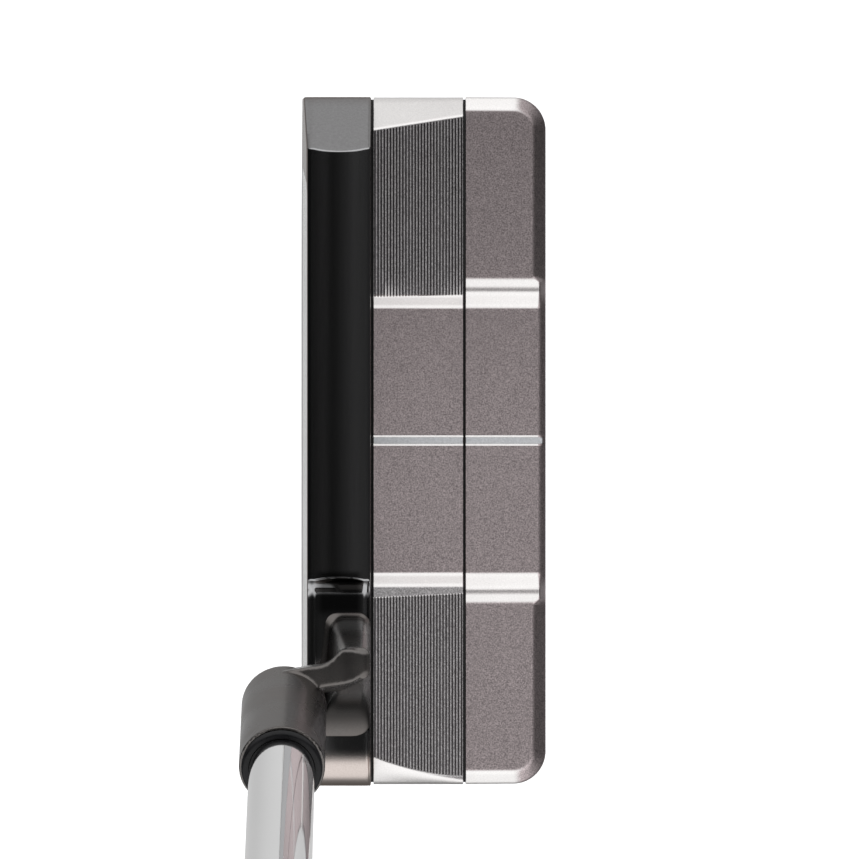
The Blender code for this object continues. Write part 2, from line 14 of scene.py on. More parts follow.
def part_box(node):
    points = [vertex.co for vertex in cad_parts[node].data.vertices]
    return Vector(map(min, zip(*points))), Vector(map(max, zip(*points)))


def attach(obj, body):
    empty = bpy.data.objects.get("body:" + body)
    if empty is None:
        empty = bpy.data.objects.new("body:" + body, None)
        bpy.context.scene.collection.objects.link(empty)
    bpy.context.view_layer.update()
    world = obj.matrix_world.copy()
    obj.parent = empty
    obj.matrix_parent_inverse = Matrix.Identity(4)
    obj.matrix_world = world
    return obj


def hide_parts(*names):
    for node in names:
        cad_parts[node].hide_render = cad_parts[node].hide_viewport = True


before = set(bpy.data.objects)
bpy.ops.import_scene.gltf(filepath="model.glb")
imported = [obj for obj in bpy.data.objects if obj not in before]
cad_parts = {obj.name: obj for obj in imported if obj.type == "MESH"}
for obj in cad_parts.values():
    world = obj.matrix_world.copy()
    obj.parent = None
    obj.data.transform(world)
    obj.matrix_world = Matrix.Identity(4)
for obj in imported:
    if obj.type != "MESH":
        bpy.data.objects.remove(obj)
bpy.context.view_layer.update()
MM = 0.001

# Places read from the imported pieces
MID_LOW, MID_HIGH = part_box("mid_deck")
REAR_LOW, REAR_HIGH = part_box("rear_flange")
_, FRONT_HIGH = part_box("front_body")
PLATE_LOW, PLATE_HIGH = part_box("sole_plate")

HALF_LENGTH = MID_HIGH.y
SEAM = REAR_LOW.x - MID_HIGH.x
GAP = 0.3 * MM
FRONT_DEPTH = 10.9 * MM
LEADING_EDGE_X = MID_LOW.x - SEAM - FRONT_DEPTH
MID_START = MID_LOW.x - LEADING_EDGE_X
MID_END = MID_HIGH.x - LEADING_EDGE_X
REAR_START = REAR_LOW.x - LEADING_EDGE_X
HEAD_DEPTH = REAR_HIGH.x - LEADING_EDGE_X
LOFT = radians(3.0)
LIE = radians(70.0)

# Surfaces of the head
CROWN = 0.9 * MM
TOP_LINE_HEIGHT = FRONT_HIGH.z - CROWN
HEEL_FLOOR = 23.2 * MM  # shelf that the neck stands on
HEEL_ROLL = 4.9 * MM  # radius of the heel's rounded end
SCOOP_TOP = -19.7 * MM  # where the heel scoop starts to bend down to the shelf
SCOOP_LENGTH = 4.8 * MM
SCOOP_RISE = 5.65 * MM
SCOOP_SIDE = -17.0 * MM  # the top is plain on the toe side of this
SHOULDER_TOP = 44.8 * MM  # where the toe shoulder meets the top line
SHOULDER_SLOPE = 1.6
TIP_SPOT = 52.2 * MM, 12.6 * MM  # a point of the toe's lower slope, along and up
TIP_SLOPE = 2.2
TOE_EDGE = 10.6 * MM  # height of the front body's toe end
TOE_EDGE_SLOPE = 4.0
DECK_HEIGHT = MID_HIGH.z
DECK_FALL = 0.2  # how much the deck drops for each metre towards the rear
CENTRE_DROP = 1.7 * MM  # middle of the deck below its wings
OUTER_DROP = 0.5 * MM  # outer panels of the rear flange below its ribs
TOE_SLOPE = 1.25  # slopes of the deck's end facets
HEEL_SLOPE = 0.86
TOE_FACET_END = 8.8 * MM  # height of each facet's outer edge
HEEL_FACET_END = 11.7 * MM
SOLE_LIFT = 0.2 * MM
SOLE_FLAT = 24.0 * MM
SOLE_CAMBER = 3.2 * MM
FLANK_IN = 20.2 * MM  # feet and crests of the cross ribs, from the sight line
FLANK_TOP = 22.7 * MM
REAR_FLANK_TOP = 23.2 * MM
RIB_OUT_TOP = 23.3 * MM
RIB_OUT_FOOT = 25.3 * MM
CORNER_RADIUS = 5.0 * MM
RIM_WIDTH = 1.9 * MM  # chamfer round the rear flange
RIM_SLOPE = 1.24
SIDE_RIM_SLOPE = 0.85
CENTRE_FLAT = 15.0 * MM  # half width of the plain centre of the deck and flange
RIM_INNER = 0.95 * MM  # width of the chamfer behind the ribs and the centre
WING_CHAMFER = 0.16 * MM
TOE_WING = 22.1, 0.3  # inner edge of each grooved wing in mm, and its drift towards the rear
HEEL_WING = -24.1, 0.6
HEEL_FACET_FRONT = -48.8 * MM  # start of the heel facet at the front, and how far it swings out
HEEL_FACET_SWING = 3.0 * MM
SOLE_RISE_START = 30 * MM  # depth where the sole starts to lift towards the rear
SOLE_RISE = 0.12
GROOVES = 29
GROOVE_DEPTH = 0.22 * MM
GROOVE_LEVEL = 0.12 * MM  # crests of the grooves below the ribs
SIGHT_WIDTH = 1.6 * MM
SIGHT_DEPTH = 0.6 * MM

# Neck, shaft and grip
MOUTH = Vector((LEADING_EDGE_X - 2.1 * MM, -48.7 * MM, 62.4 * MM))
SHAFT_AXIS = Vector((0.0, -cos(LIE), sin(LIE)))
BARREL_RADIUS = 6.45 * MM
BARREL_LENGTH = 28.1 * MM
SHAFT_TIP_RADIUS = 4.95 * MM
SHAFT_BUTT_RADIUS = 7.6 * MM
SOCKET_DEPTH = 20.0 * MM
CLUB_LENGTH = 864.0 * MM
BUTT = CLUB_LENGTH - MOUTH.z / sin(LIE)
GRIP_LENGTH = 266.0 * MM  # with its cap
GRIP_START = BUTT - GRIP_LENGTH


def depth_x(depth):
    """World X of a place at this depth behind the leading edge."""
    return LEADING_EDGE_X + depth


def cross_rings(pairs):
    """Rings of world points from pairs of a depth and its outline of (y, height)."""
    return [[(depth_x(depth), y, z) for y, z in outline] for depth, outline in pairs]


def eased(value, low, high):
    """0 below low, 1 above high, and a smooth curve between."""
    share = min(max((value - low) / (high - low), 0.0), 1.0)
    return share * share * (3.0 - 2.0 * share)


def ramp(value, low, high):
    """0 below low, 1 above high, and a straight slope with rounded ends between."""
    share = min(max((value - low) / (high - low), 0.0), 1.0)
    end = 0.3
    if share < end:
        return share**2 / (2 * end * (1 - end))
    if share > 1 - end:
        return 1 - (1 - share) ** 2 / (2 * end * (1 - end))
    return (share - end / 2) / (1 - end)


def lower_of(a, b, blend):
    """The lower of two heights, rounded over this much where they cross."""
    share = max(blend - abs(a - b), 0.0) / blend
    return min(a, b) - blend * share * share / 4


def spread(low, high, steps):
    return [low + (high - low) * i / steps for i in range(steps + 1)]


# Mesh helpers


def make_piece(name, points, faces, sharp):
    """An object of these faces, with outward normals and smooth shading."""
    mesh = bpy.data.meshes.new(name)
    mesh.from_pydata(points, [], faces)
    bm = bmesh.new()
    bm.from_mesh(mesh)
    bmesh.ops.recalc_face_normals(bm, faces=bm.faces)
    bm.to_mesh(mesh)
    bm.free()
    piece = bpy.data.objects.new(name, mesh)
    bpy.context.scene.collection.objects.link(piece)
    return crisp(piece, sharp)


def skin(name, rings, sharp=40.0, looped=False):
    """A closed skin through rings of equal point counts, with flat ends or joined into a loop."""
    count = len(rings[0])
    points = [tuple(point) for ring in rings for point in ring]
    faces = []
    last = len(rings) if looped else len(rings) - 1
    for k in range(last):
        near, far = k * count, (k + 1) % len(rings) * count
        for i in range(count):
            j = (i + 1) % count
            faces.append((near + i, near + j, far + j, far + i))
    if not looped:
        faces.append(tuple(range(count)))
        faces.append(tuple(range(len(points) - count, len(points))))
    return make_piece(name, points, faces, sharp)


def turned(name, profile, segments=64, sharp=40.0):
    """Spins (radius, height) points about Z. One that starts off the axis closes as a ring."""
    solid = profile[0][0] == 0.0
    body = profile[1:-1] if solid else profile
    rings = []
    for i in range(segments):
        angle = 2 * pi * i / segments
        rings.append([(r * cos(angle), r * sin(angle), h) for r, h in body])
    count = len(body)
    points = [p for ring in rings for p in ring]
    faces = []
    for k in range(segments):
        near, far = k * count, (k + 1) % segments * count
        for i in range(count - 1 if solid else count):
            j = (i + 1) % count
            faces.append((near + i, far + i, far + j, near + j))
    if solid:
        faces.append(tuple(k * count for k in range(segments)))
        faces.append(tuple(k * count + count - 1 for k in range(segments)))
    return make_piece(name, points, faces, sharp)


def prism(name, outline, axis, start, end):
    """Extrudes a flat outline along X, Y or Z. Its points hold the other two coordinates."""
    places = {
        "X": lambda a, b, along: (along, a, b),
        "Y": lambda a, b, along: (a, along, b),
        "Z": lambda a, b, along: (a, b, along),
    }
    rings = [[places[axis](a, b, along) for a, b in outline] for along in (start, end)]
    return skin(name, rings)


def rectangle(low_a, high_a, low_b, high_b):
    return [(low_a, low_b), (high_a, low_b), (high_a, high_b), (low_a, high_b)]


def mirrored(points):
    """Points taken over to the heel side, in the order that closes the outline."""
    return [(-y, z) for y, z in points[::-1]]


def arc(centre, radius, start, end, steps):
    angles = [radians(angle) for angle in spread(start, end, steps)]
    return [(centre[0] + radius * cos(a), centre[1] + radius * sin(a)) for a in angles]


def rounded_rectangle(low_a, high_a, low_b, high_b, radius, steps=8):
    left, right = low_a + radius, high_a - radius
    bottom, top = low_b + radius, high_b - radius
    centres = ((right, top), (left, top), (left, bottom), (right, bottom))
    points = []
    for i, centre in enumerate(centres):
        points += arc(centre, radius, 90 * i, 90 * i + 90, steps)
    return points


def shrunk(outline, inset):
    """An outline moved inwards by a small distance."""
    following = outline[1:] + outline[:1]
    area = sum(a[0] * b[1] - b[0] * a[1] for a, b in zip(outline, following))
    side = 1.0 if area > 0 else -1.0
    moved = []
    for i, (a, b) in enumerate(outline):
        before, after = Vector(outline[i - 1]), Vector(following[i])
        near, far = Vector((a, b)) - before, after - Vector((a, b))
        near = near.normalized() if near.length > 1e-9 else far.normalized()
        far = far.normalized() if far.length > 1e-9 else near
        across = near + far
        if across.length < 1e-6:
            moved.append((a, b))
            continue
        across.normalize()
        inward = Vector((-across.y, across.x)) * side
        corner = max(inward.dot(Vector((-near.y, near.x)) * side), 0.5)
        moved.append((a + inward.x * inset / corner, b + inward.y * inset / corner))
    return moved


def rounded_ends(places, outline_at, radius, steps=3):
    """(place, outline) pairs for a loft whose first and last edges are rounded."""
    first, last = places[0], places[-1]
    near, middle_part, far = [], [], []
    for angle in spread(0.0, pi / 2, steps)[:-1]:
        inset, back = radius * (1 - sin(angle)), radius * (1 - cos(angle))
        near.append((first + back, shrunk(outline_at(first + back), inset)))
        far.append((last - back, shrunk(outline_at(last - back), inset)))
    inside = [place for place in places if first + radius < place < last - radius]
    for place in [first + radius, *inside, last - radius]:
        middle_part.append((place, outline_at(place)))
    return near + middle_part + far[::-1]


def change(piece, kind, **values):
    """Adds a modifier, and applies it at once."""
    modifier = piece.modifiers.new(kind.title(), kind)
    for key, value in values.items():
        setattr(modifier, key, value)
    depsgraph = bpy.context.evaluated_depsgraph_get()
    mesh = bpy.data.meshes.new_from_object(piece.evaluated_get(depsgraph), depsgraph=depsgraph)
    piece.modifiers.clear()
    old = piece.data
    piece.data = mesh
    bpy.data.meshes.remove(old)
    return piece


def combine(target, *tools, operation="DIFFERENCE"):
    """Joins the tools' shapes to the target or cuts them away, and removes the tools."""
    for tool in tools:
        change(target, "BOOLEAN", operation=operation, object=tool, solver="EXACT")
        bpy.data.objects.remove(tool)


def crisp(piece, sharp=40.0):
    piece.data.shade_smooth()
    piece.data.set_sharp_from_angle(angle=radians(sharp))
    return piece


def crisp_deck(piece):
    """Deck shading: sharper edges, and flat faces across the plain centre."""
    for polygon in crisp(piece, 28.0).data.polygons:
        if abs(polygon.center.y) < CENTRE_FLAT:
            polygon.use_smooth = False
    return piece


def stand(piece, spot, turn=None):
    """Moves a piece's mesh to a spot, turned first."""
    matrix = Matrix.Translation(spot)
    if turn is not None:
        matrix = matrix @ turn.to_4x4()
    piece.data.transform(matrix)
    return piece


SHAFT_TURN = Matrix((Vector((1, 0, 0)), Vector((0, sin(LIE), cos(LIE))), SHAFT_AXIS)).transposed()


def lay_on_shaft(piece):
    """Puts a piece at the mouth of the neck, with its Z up the shaft and its Y to the thumbs."""
    return stand(piece, MOUTH, SHAFT_TURN)


def dress(piece, look):
    piece.data.materials.clear()
    piece.data.materials.append(LOOKS[look])


def deliver(piece, node, slot, body="club"):
    """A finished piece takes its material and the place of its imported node."""
    dress(piece, slot)
    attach(piece, body)
    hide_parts(node)


# Materials


class Nodes:
    """Short calls for building the nodes of a material, or of the world."""

    def __init__(self, owner):
        owner.use_nodes = True
        self.tree = owner.node_tree
        self.shader = self.tree.nodes.get("Principled BSDF")

    def add(self, kind):
        return self.tree.nodes.new(f"ShaderNode{kind}")

    def link(self, source, target):
        self.tree.links.new(source, target)

    def place(self, scale=(1.0, 1.0, 1.0)):
        """Object coordinates, stretched."""
        coordinates = self.add("TexCoord")
        mapping = self.add("Mapping")
        mapping.inputs["Scale"].default_value = scale
        self.link(coordinates.outputs["Object"], mapping.inputs["Vector"])
        return mapping.outputs["Vector"]

    def noise(self, scale, detail=2.0, stretch=(1.0, 1.0, 1.0)):
        node = self.add("TexNoise")
        node.inputs["Scale"].default_value = scale
        node.inputs["Detail"].default_value = detail
        self.link(self.place(stretch), node.inputs["Vector"])
        return node.outputs["Fac"]

    def spots(self, scale, stretch=(1.0, 1.0, 1.0)):
        node = self.add("TexVoronoi")
        node.inputs["Scale"].default_value = scale
        self.link(self.place(stretch), node.inputs["Vector"])
        return node.outputs["Distance"]

    def remap(self, value, low, high, to_low=0.0, to_high=1.0, smooth=False):
        node = self.add("MapRange")
        node.interpolation_type = "SMOOTHSTEP" if smooth else "LINEAR"
        ends = {"From Min": low, "From Max": high, "To Min": to_low, "To Max": to_high}
        for key, number in ends.items():
            node.inputs[key].default_value = number
        self.link(value, node.inputs["Value"])
        return node.outputs["Result"]

    def mix(self, share, first, second):
        """A colour between two, each given as a colour or as another node's output."""
        node = self.add("Mix")
        node.data_type = "RGBA"
        self.link(share, node.inputs["Factor"])
        for socket, value in ((node.inputs[6], first), (node.inputs[7], second)):
            if isinstance(value, tuple):
                socket.default_value = (*value, 1.0)
            else:
                self.link(value, socket)
        return node.outputs[2]

    def on_axis(self, vector, axis, low, high, either_way):
        """0 to 1 as one coordinate of a vector, or its size, goes between two numbers."""
        split = self.add("SeparateXYZ")
        self.link(vector, split.inputs["Vector"])
        value = self.size(split.outputs[axis]) if either_way else split.outputs[axis]
        return self.remap(value, low, high, smooth=True)

    def facing(self, axis, low, high, either_way=False):
        """0 to 1 as the surface's normal turns along an axis."""
        geometry = self.add("NewGeometry")
        return self.on_axis(geometry.outputs["Normal"], axis, low, high, either_way)

    def along(self, axis, low, high, either_way=False):
        """0 to 1 between two places on an axis of the object."""
        return self.on_axis(self.place(), axis, low, high, either_way)

    def math(self, kind, *values):
        """One arithmetic step on numbers or other nodes' outputs."""
        node = self.add("Math")
        node.operation = kind
        for socket, value in zip(node.inputs, values):
            if isinstance(value, bpy.types.NodeSocket):
                self.link(value, socket)
            else:
                socket.default_value = value
        return node.outputs[0]

    def size(self, value):
        return self.math("ABSOLUTE", value)

    def times(self, first, *others):
        for other in others:
            first = self.math("MULTIPLY", first, other)
        return first

    def fading(self, share, high):
        """A share brought down from 0 to 1 to 0 to this much."""
        return self.remap(share, 0.0, 1.0, 0.0, high)

    def mottled(self, pattern, first, second, low=0.3, high=0.7, most=1.0):
        """A colour that goes from one to another, or some way there, as a pattern rises."""
        return self.mix(self.remap(pattern, low, high, 0.0, most), first, second)

    def scaled(self, colour, factor):
        """A colour made lighter or darker by a pattern."""
        node = self.add("VectorMath")
        node.operation = "SCALE"
        self.link(colour, node.inputs[0])
        self.link(factor, node.inputs["Scale"])
        return node.outputs[0]

    def bump(self, height, strength, distance, under=None):
        node = self.add("Bump")
        node.inputs["Strength"].default_value = strength
        node.inputs["Distance"].default_value = distance
        self.link(height, node.inputs["Height"])
        if under is not None:
            self.link(under, node.inputs["Normal"])
        return node.outputs["Normal"]

    def surface(self, colour=None, metallic=1.0, roughness=0.4, normal=None, **extra):
        """Sets the shader's sockets: numbers directly, and patterns by links."""
        values = {"Base Color": colour, "Roughness": roughness, "Normal": normal, "Metallic": metallic}
        values.update({key.replace("_", " "): value for key, value in extra.items()})
        for key, value in values.items():
            if value is None:
                continue
            socket = self.shader.inputs[key]
            if isinstance(value, bpy.types.NodeSocket):
                self.link(value, socket)
            elif isinstance(value, tuple):
                socket.default_value = (*value, 1.0)
            else:
                socket.default_value = value


LOOKS = {}


def new_look(name):
    """The nodes of a new material, which is kept under its name."""
    LOOKS[name] = bpy.data.materials.new(name)
    return Nodes(LOOKS[name])


def tint(colour, factor):
    return tuple(channel * factor for channel in colour)


def blasted_metal(name, colour, bright, roughness, speckle=0.36, crest_highlight=0.0):
    """Bead-blasted metal: speckle, soft clouding, brighter cut facets with painted highlight, painted crest
    highlight, painted shade on the groove walls and painted light growing towards the heel.
    """
    n = new_look(name)
    fine = n.noise(4600.0, 2.0)
    cloud = n.noise(90.0, 3.0)
    # painted light: the colour grows lighter towards the heel, standing for the soft light on that side;
    # the grooved wings and groove walls take it too
    painted_light_to_heel = n.along("Y", 56.0 * MM, -12.0 * MM)
    tone = n.mix(painted_light_to_heel, tint(colour, 0.66), tint(colour, 0.98))
    specks = n.remap(fine, 0.3, 0.7, 1.0 - speckle, 1.0 + speckle)
    flat = n.scaled(tone, specks)
    machined = n.scaled(n.mix(painted_light_to_heel, tint(GROOVE_GREY, 0.92), tint(GROOVE_GREY, 1.32)), specks)
    wing = n.times(
        n.along("Y", 22.3 * MM, 22.6 * MM, either_way=True),
        n.along("X", MID_HIGH.x + 0.2 * MM, MID_HIGH.x),
        n.facing("Z", -0.4, 0.0),
    )
    ground = n.mix(wing, flat, machined)
    # brighter silver on faces turned to the toe or heel: a cut finish, with painted highlight
    cut = n.mottled(fine, tint(bright, 0.93), tint(bright, 1.07))
    not_rear = n.remap(n.facing("X", 0.15, 0.4), 0.0, 1.0, 1.0, 0.0)
    across = n.times(n.facing("Y", 0.06, 0.32, either_way=True), not_rear)
    shade = n.mix(across, ground, cut)
    # painted highlight: the flat rib crests near the outer feet are lightened towards the silver
    before_foot = n.along("Y", 24.2 * MM, 23.7 * MM, either_way=True)
    crest_painted_highlight = n.times(
        n.along("Y", 22.3 * MM, 22.9 * MM, either_way=True),
        n.fading(before_foot, crest_highlight),
        n.facing("Z", 0.8, 0.95),
    )
    shade = n.mix(crest_painted_highlight, shade, cut)
    # painted shade: the walls of the grooves are darkened
    walls = n.times(n.facing("X", 0.3, 0.6, either_way=True), wing)
    groove_wall_shade = n.mix(walls, shade, n.mix(painted_light_to_heel, tint(GROOVE_GREY, 0.5), tint(GROOVE_GREY, 0.78)))
    clouded = n.mottled(cloud, groove_wall_shade, tint(colour, 0.8), 0.35, 0.65, 0.1)
    grain = n.noise(4600.0, 3.0)
    n.surface(
        colour=clouded,
        roughness=n.remap(fine, 0.3, 0.7, roughness - 0.05, roughness + 0.05),
        normal=n.bump(grain, 0.25, 0.02 * MM),
    )


def gloss_steel(name):
    """Black polished steel, faintly brushed, with painted shade in the scoop's middle and a warm satin heel
    end.
    """
    n = new_look(name)
    brush = n.noise(2400.0, 2.0, (1.0, 0.05, 1.0))
    fine = n.noise(5200.0, 2.0)
    black = n.mottled(brush, (0.325, 0.325, 0.33), (0.36, 0.36, 0.365))
    satin = n.mottled(fine, (0.50, 0.44, 0.41), (0.57, 0.51, 0.48))
    heel = n.along("Y", -46.9 * MM, -48.9 * MM)
    # painted shade: the middle of the heel scoop is painted near black, standing for the dark neck
    # reflected there
    scoop = n.times(
        n.along("Y", -19.6 * MM, -20.6 * MM),
        n.along("Y", -27.5 * MM, -25.5 * MM),
        n.along("X", depth_x(1.8 * MM), depth_x(3.8 * MM)),
        n.along("X", depth_x(10.0 * MM), depth_x(8.6 * MM)),
    )
    darker = n.mix(n.fading(scoop, 0.8), black, (0.03, 0.03, 0.03))
    wear_and_painted_shade = n.mix(heel, darker, satin)
    n.surface(
        colour=wear_and_painted_shade,
        roughness=n.remap(heel, 0.0, 1.0, 0.13, 0.3),
        normal=n.bump(brush, 0.04, 0.005 * MM),
        Specular_Tint=(0.4, 0.36, 0.34),
    )


def brushed_metal(name, colour, roughness, stretch=(1.0, 0.03, 1.0), depth=0.01 * MM):
    """Fine lines left by a cutter or an abrasive belt."""
    n = new_look(name)
    lines = n.noise(2600.0, 2.0, stretch)
    wear = n.noise(150.0, 3.0)
    base = n.mottled(lines, tint(colour, 0.86), tint(colour, 1.1))
    wear_and_painted_shade = n.mottled(wear, base, tint(colour, 0.75), 0.4, 0.7, 0.25)
    n.surface(
        colour=wear_and_painted_shade,
        roughness=n.remap(lines, 0.3, 0.7, roughness - 0.06, roughness + 0.06),
        normal=n.bump(lines, 0.2, depth),
    )


def satin_metal(name, colour, roughness):
    """Dark-coated steel: fine grain, slight bronze clouding, with painted shade on the socket's sides and
    on the post's foot under the arm.
    """
    n = new_look(name)
    fine = n.noise(4200.0, 2.0)
    cloud = n.noise(140.0, 2.0)
    base = n.mottled(fine, tint(colour, 0.92), tint(colour, 1.08))
    bronze = (colour[0] * 1.08, colour[1] * 0.97, colour[2] * 0.92)
    warm = n.mottled(cloud, base, bronze, 0.4, 0.65, 0.3)
    # painted shade: the socket's rear and front sides are darkened
    socket = n.along("Y", -40.5 * MM, -43.5 * MM)
    rear_side_shade = n.times(socket, n.facing("X", 0.25, 0.95))
    shaded = n.mix(n.fading(rear_side_shade, 0.75), warm, tint(colour, 0.2))
    front_side_shade = n.times(socket, n.facing("X", -0.75, -1.0))
    shaded = n.mix(n.fading(front_side_shade, 0.6), shaded, tint(colour, 0.3))
    # painted shade: the post's foot under the arm is darkened
    foot = n.times(
        n.along("Z", 33.0 * MM, 31.0 * MM),
        n.along("Y", -37.5 * MM, -39.5 * MM),
        n.along("Y", -45.3 * MM, -41.8 * MM),
    )
    shaded = n.mix(n.fading(foot, 0.85), shaded, tint(colour, 0.2))
    n.surface(
        colour=shaded,
        roughness=n.remap(cloud, 0.3, 0.7, roughness - 0.03, roughness + 0.04),
        normal=n.bump(fine, 0.12, 0.012 * MM),
    )


def chrome(name):
    """Bright plating with barely visible polishing haze."""
    n = new_look(name)
    haze = n.noise(60.0, 3.0, (1.0, 1.0, 0.15))
    lines = n.noise(1800.0, 2.0, (1.0, 1.0, 0.02))
    base = n.mottled(haze, (0.80, 0.80, 0.80), (0.86, 0.86, 0.86))
    n.surface(colour=base, roughness=n.remap(lines, 0.3, 0.7, 0.03, 0.07))


def grained(name, pattern, shades, roughness, relief, **extra):
    """A dielectric whose colour (two shades, and the pattern's start), roughness and relief follow
    one fine pattern."""
    n = new_look(name)
    grain = n.noise(*pattern)
    if isinstance(roughness, tuple):
        roughness = n.remap(grain, 0.3, 0.7, *roughness)
    n.surface(
        colour=n.mottled(grain, *shades),
        metallic=0.0,
        roughness=roughness,
        normal=n.bump(grain, *relief),
        **extra,
    )


def plastic(name, colour, roughness, shine=0.5):
    """A moulded piece with a faint orange-peel surface."""
    shades = tint(colour, 0.85), tint(colour, 1.2)
    spread_of = roughness - 0.04, roughness + 0.05
    relief = 0.15, 0.015 * MM
    grained(name, (1400.0, 2.0), shades, spread_of, relief, Specular_IOR_Level=shine)


def sight_paint(name):
    """Grey-white enamel with fine pits."""
    shades = (0.50, 0.51, 0.53), (0.61, 0.62, 0.64), 0.35
    grained(name, (3000.0, 3.0), shades, (0.28, 0.42), (0.1, 0.01 * MM))


def grip_rubber(name):
    """Soft rubber with a fine pebbled skin and dulled high spots."""
    n = new_look(name)
    pebbles = n.spots(1500.0)
    dust = n.noise(45.0, 4.0)
    base = n.mottled(dust, (0.017, 0.017, 0.019), (0.034, 0.034, 0.036), 0.35)
    n.surface(
        colour=base,
        metallic=0.0,
        roughness=n.remap(dust, 0.3, 0.7, 0.62, 0.8),
        normal=n.bump(pebbles, 0.35, 0.06 * MM),
    )


def masking_tape(name):
    """Creped paper tape."""
    shades = (0.60, 0.52, 0.36), (0.72, 0.65, 0.48)
    crepe = 900.0, 3.0, (1.0, 1.0, 4.0)
    grained(name, crepe, shades, 0.85, (0.4, 0.03 * MM))


BRONZE_GREY = (0.50, 0.432, 0.437)
GROOVE_GREY = (0.43, 0.415, 0.42)
SILVER_AND_PAINTED_HIGHLIGHT = (0.80, 0.785, 0.775)
gloss_steel("black_steel")
brushed_metal("milled_face", (0.97, 0.97, 0.96), 0.12)
plastic("elastomer", (0.01, 0.01, 0.01), 0.6, 0.25)
blasted_metal("deck_bronze_grey", BRONZE_GREY, SILVER_AND_PAINTED_HIGHLIGHT, 0.4)
blasted_metal("flange_bronze_grey", BRONZE_GREY, SILVER_AND_PAINTED_HIGHLIGHT, 0.4, crest_highlight=0.6)
sight_paint("sight_paint")
brushed_metal("plate_aluminium", (0.62, 0.62, 0.63), 0.34)
brushed_metal("screw_steel", (0.40, 0.40, 0.41), 0.3, (1.0, 1.0, 0.1))
brushed_metal("weight_steel", (0.58, 0.58, 0.58), 0.28, (1.0, 1.0, 0.1))
satin_metal("neck_graphite", (0.124, 0.117, 0.113), 0.27)
plastic("ferrule_plastic", (0.008, 0.008, 0.009), 0.3, 0.2)
chrome("shaft_chrome")
masking_tape("grip_tape_paper")
grip_rubber("grip_rubber")


# Shared surfaces of the head


def underside(y):
    """Height of the cambered sole at a distance along the head."""
    beyond = max(abs(y) - SOLE_FLAT, 0.0) / (HALF_LENGTH - SOLE_FLAT)
    return SOLE_LIFT + SOLE_CAMBER * beyond**2


def sole_corner(half, floor):
    """The rounded corner between the sole and the toe end."""
    return [(half - 0.05 * MM, floor + 0.12 * MM), (half, floor + 0.4 * MM)]


def deck_height(depth):
    return DECK_HEIGHT - DECK_FALL * (depth - MID_START)


def sole_plate_outline(grow):
    low_x, high_x = PLATE_LOW.x - grow, PLATE_HIGH.x + grow
    half = PLATE_HIGH.y + grow
    return rounded_rectangle(low_x, high_x, -half, half, 4 * MM + grow)


def sole_pocket():
    return prism("sole_pocket", sole_plate_outline(GAP), "Z", -2 * MM, PLATE_HIGH.z + GAP)


# Front body and face insert


def side_height(y):
    """Top of the front body along the head: toe shoulder, top line, heel scoop and heel roll."""
    shoulder = TOP_LINE_HEIGHT + (SHOULDER_TOP - y) * SHOULDER_SLOPE
    tip = TIP_SPOT[1] + (TIP_SPOT[0] - y) * TIP_SLOPE
    edge = TOE_EDGE + (HALF_LENGTH - y) * TOE_EDGE_SLOPE
    toe = lower_of(lower_of(shoulder, tip, 0.4 * MM), edge, 0.4 * MM)
    if y > SCOOP_SIDE:
        return toe
    into_scoop = min(max((SCOOP_TOP - y) / SCOOP_LENGTH, 0.0), 1.0)
    scoop = HEEL_FLOOR + SCOOP_RISE * (1.0 - into_scoop) ** 3
    past = min(max(HEEL_ROLL - HALF_LENGTH - y, 0.0), HEEL_ROLL)
    return scoop - HEEL_ROLL + (HEEL_ROLL**2 - past**2) ** 0.5


def front_section(y):
    """Cross-section of the front body at one place along the head, as (x, height)."""
    limit = side_height(y)
    floor = underside(y)

    def face_at(height):
        return depth_x(height * tan(LOFT))

    rear = depth_x(FRONT_DEPTH)
    hollow = eased(y, -18.5 * MM, -21.5 * MM) * eased(y, -45.0 * MM, -40.0 * MM)
    reach = 0.06 + 0.14 * hollow
    crown_start = face_at(TOP_LINE_HEIGHT) + 0.45 * MM
    crown_end = rear - 0.35 * MM
    ring = [(depth_x(0.9 * MM), floor), (rear - 0.3 * MM, floor), (rear, floor + 0.3 * MM)]
    rear_top = min(TOP_LINE_HEIGHT - 0.45 * MM, limit - 0.3 * MM)
    ring += [(rear, floor + (rear_top - floor) * share) for share in (0.25, 0.5, 0.75, 1.0)]
    for angle in (radians(20), radians(45), radians(70)):
        ring.append((rear - 0.3 * MM * (1 - cos(angle)), rear_top + 0.3 * MM * sin(angle)))
    for share in spread(0.0, 1.0, 40):
        x = crown_end + (crown_start - crown_end) * share
        crown = TOP_LINE_HEIGHT + CROWN * (1 - (2 * share - 1) ** 2)
        near_end = max(abs(2 * share - 1) - 1 + reach, 0.0) / reach
        side = limit - 0.03 * MM - (0.16 + 0.2 * hollow) * MM * near_end ** (1 + hollow)
        ring.append((x, lower_of(crown, side, 0.16 * MM)))
    face_top = min(TOP_LINE_HEIGHT - 0.6 * MM, limit - 0.75 * MM)
    ring.append((face_at(face_top + 0.28 * MM) + 0.1 * MM, face_top + 0.28 * MM))
    low = floor + 1.0 * MM
    ring += [(face_at(height), height) for height in spread(face_top, low, 4)]
    ring += [(face_at(low) + 0.1 * MM, floor + 0.5 * MM), (face_at(low) + 0.35 * MM, floor + 0.15 * MM)]
    return ring


def front_places():
    """Stations along the front body, close together where the top bends."""
    places = [-HALF_LENGTH]
    bends = (-47.0 * MM, 60), (-27.0 * MM, 24), (SCOOP_SIDE, 72), (42.5 * MM, 40), (46.5 * MM, 40)
    for end, steps in (*bends, (HALF_LENGTH, 40)):
        places += spread(places[-1], end, steps)[1:]
    return places


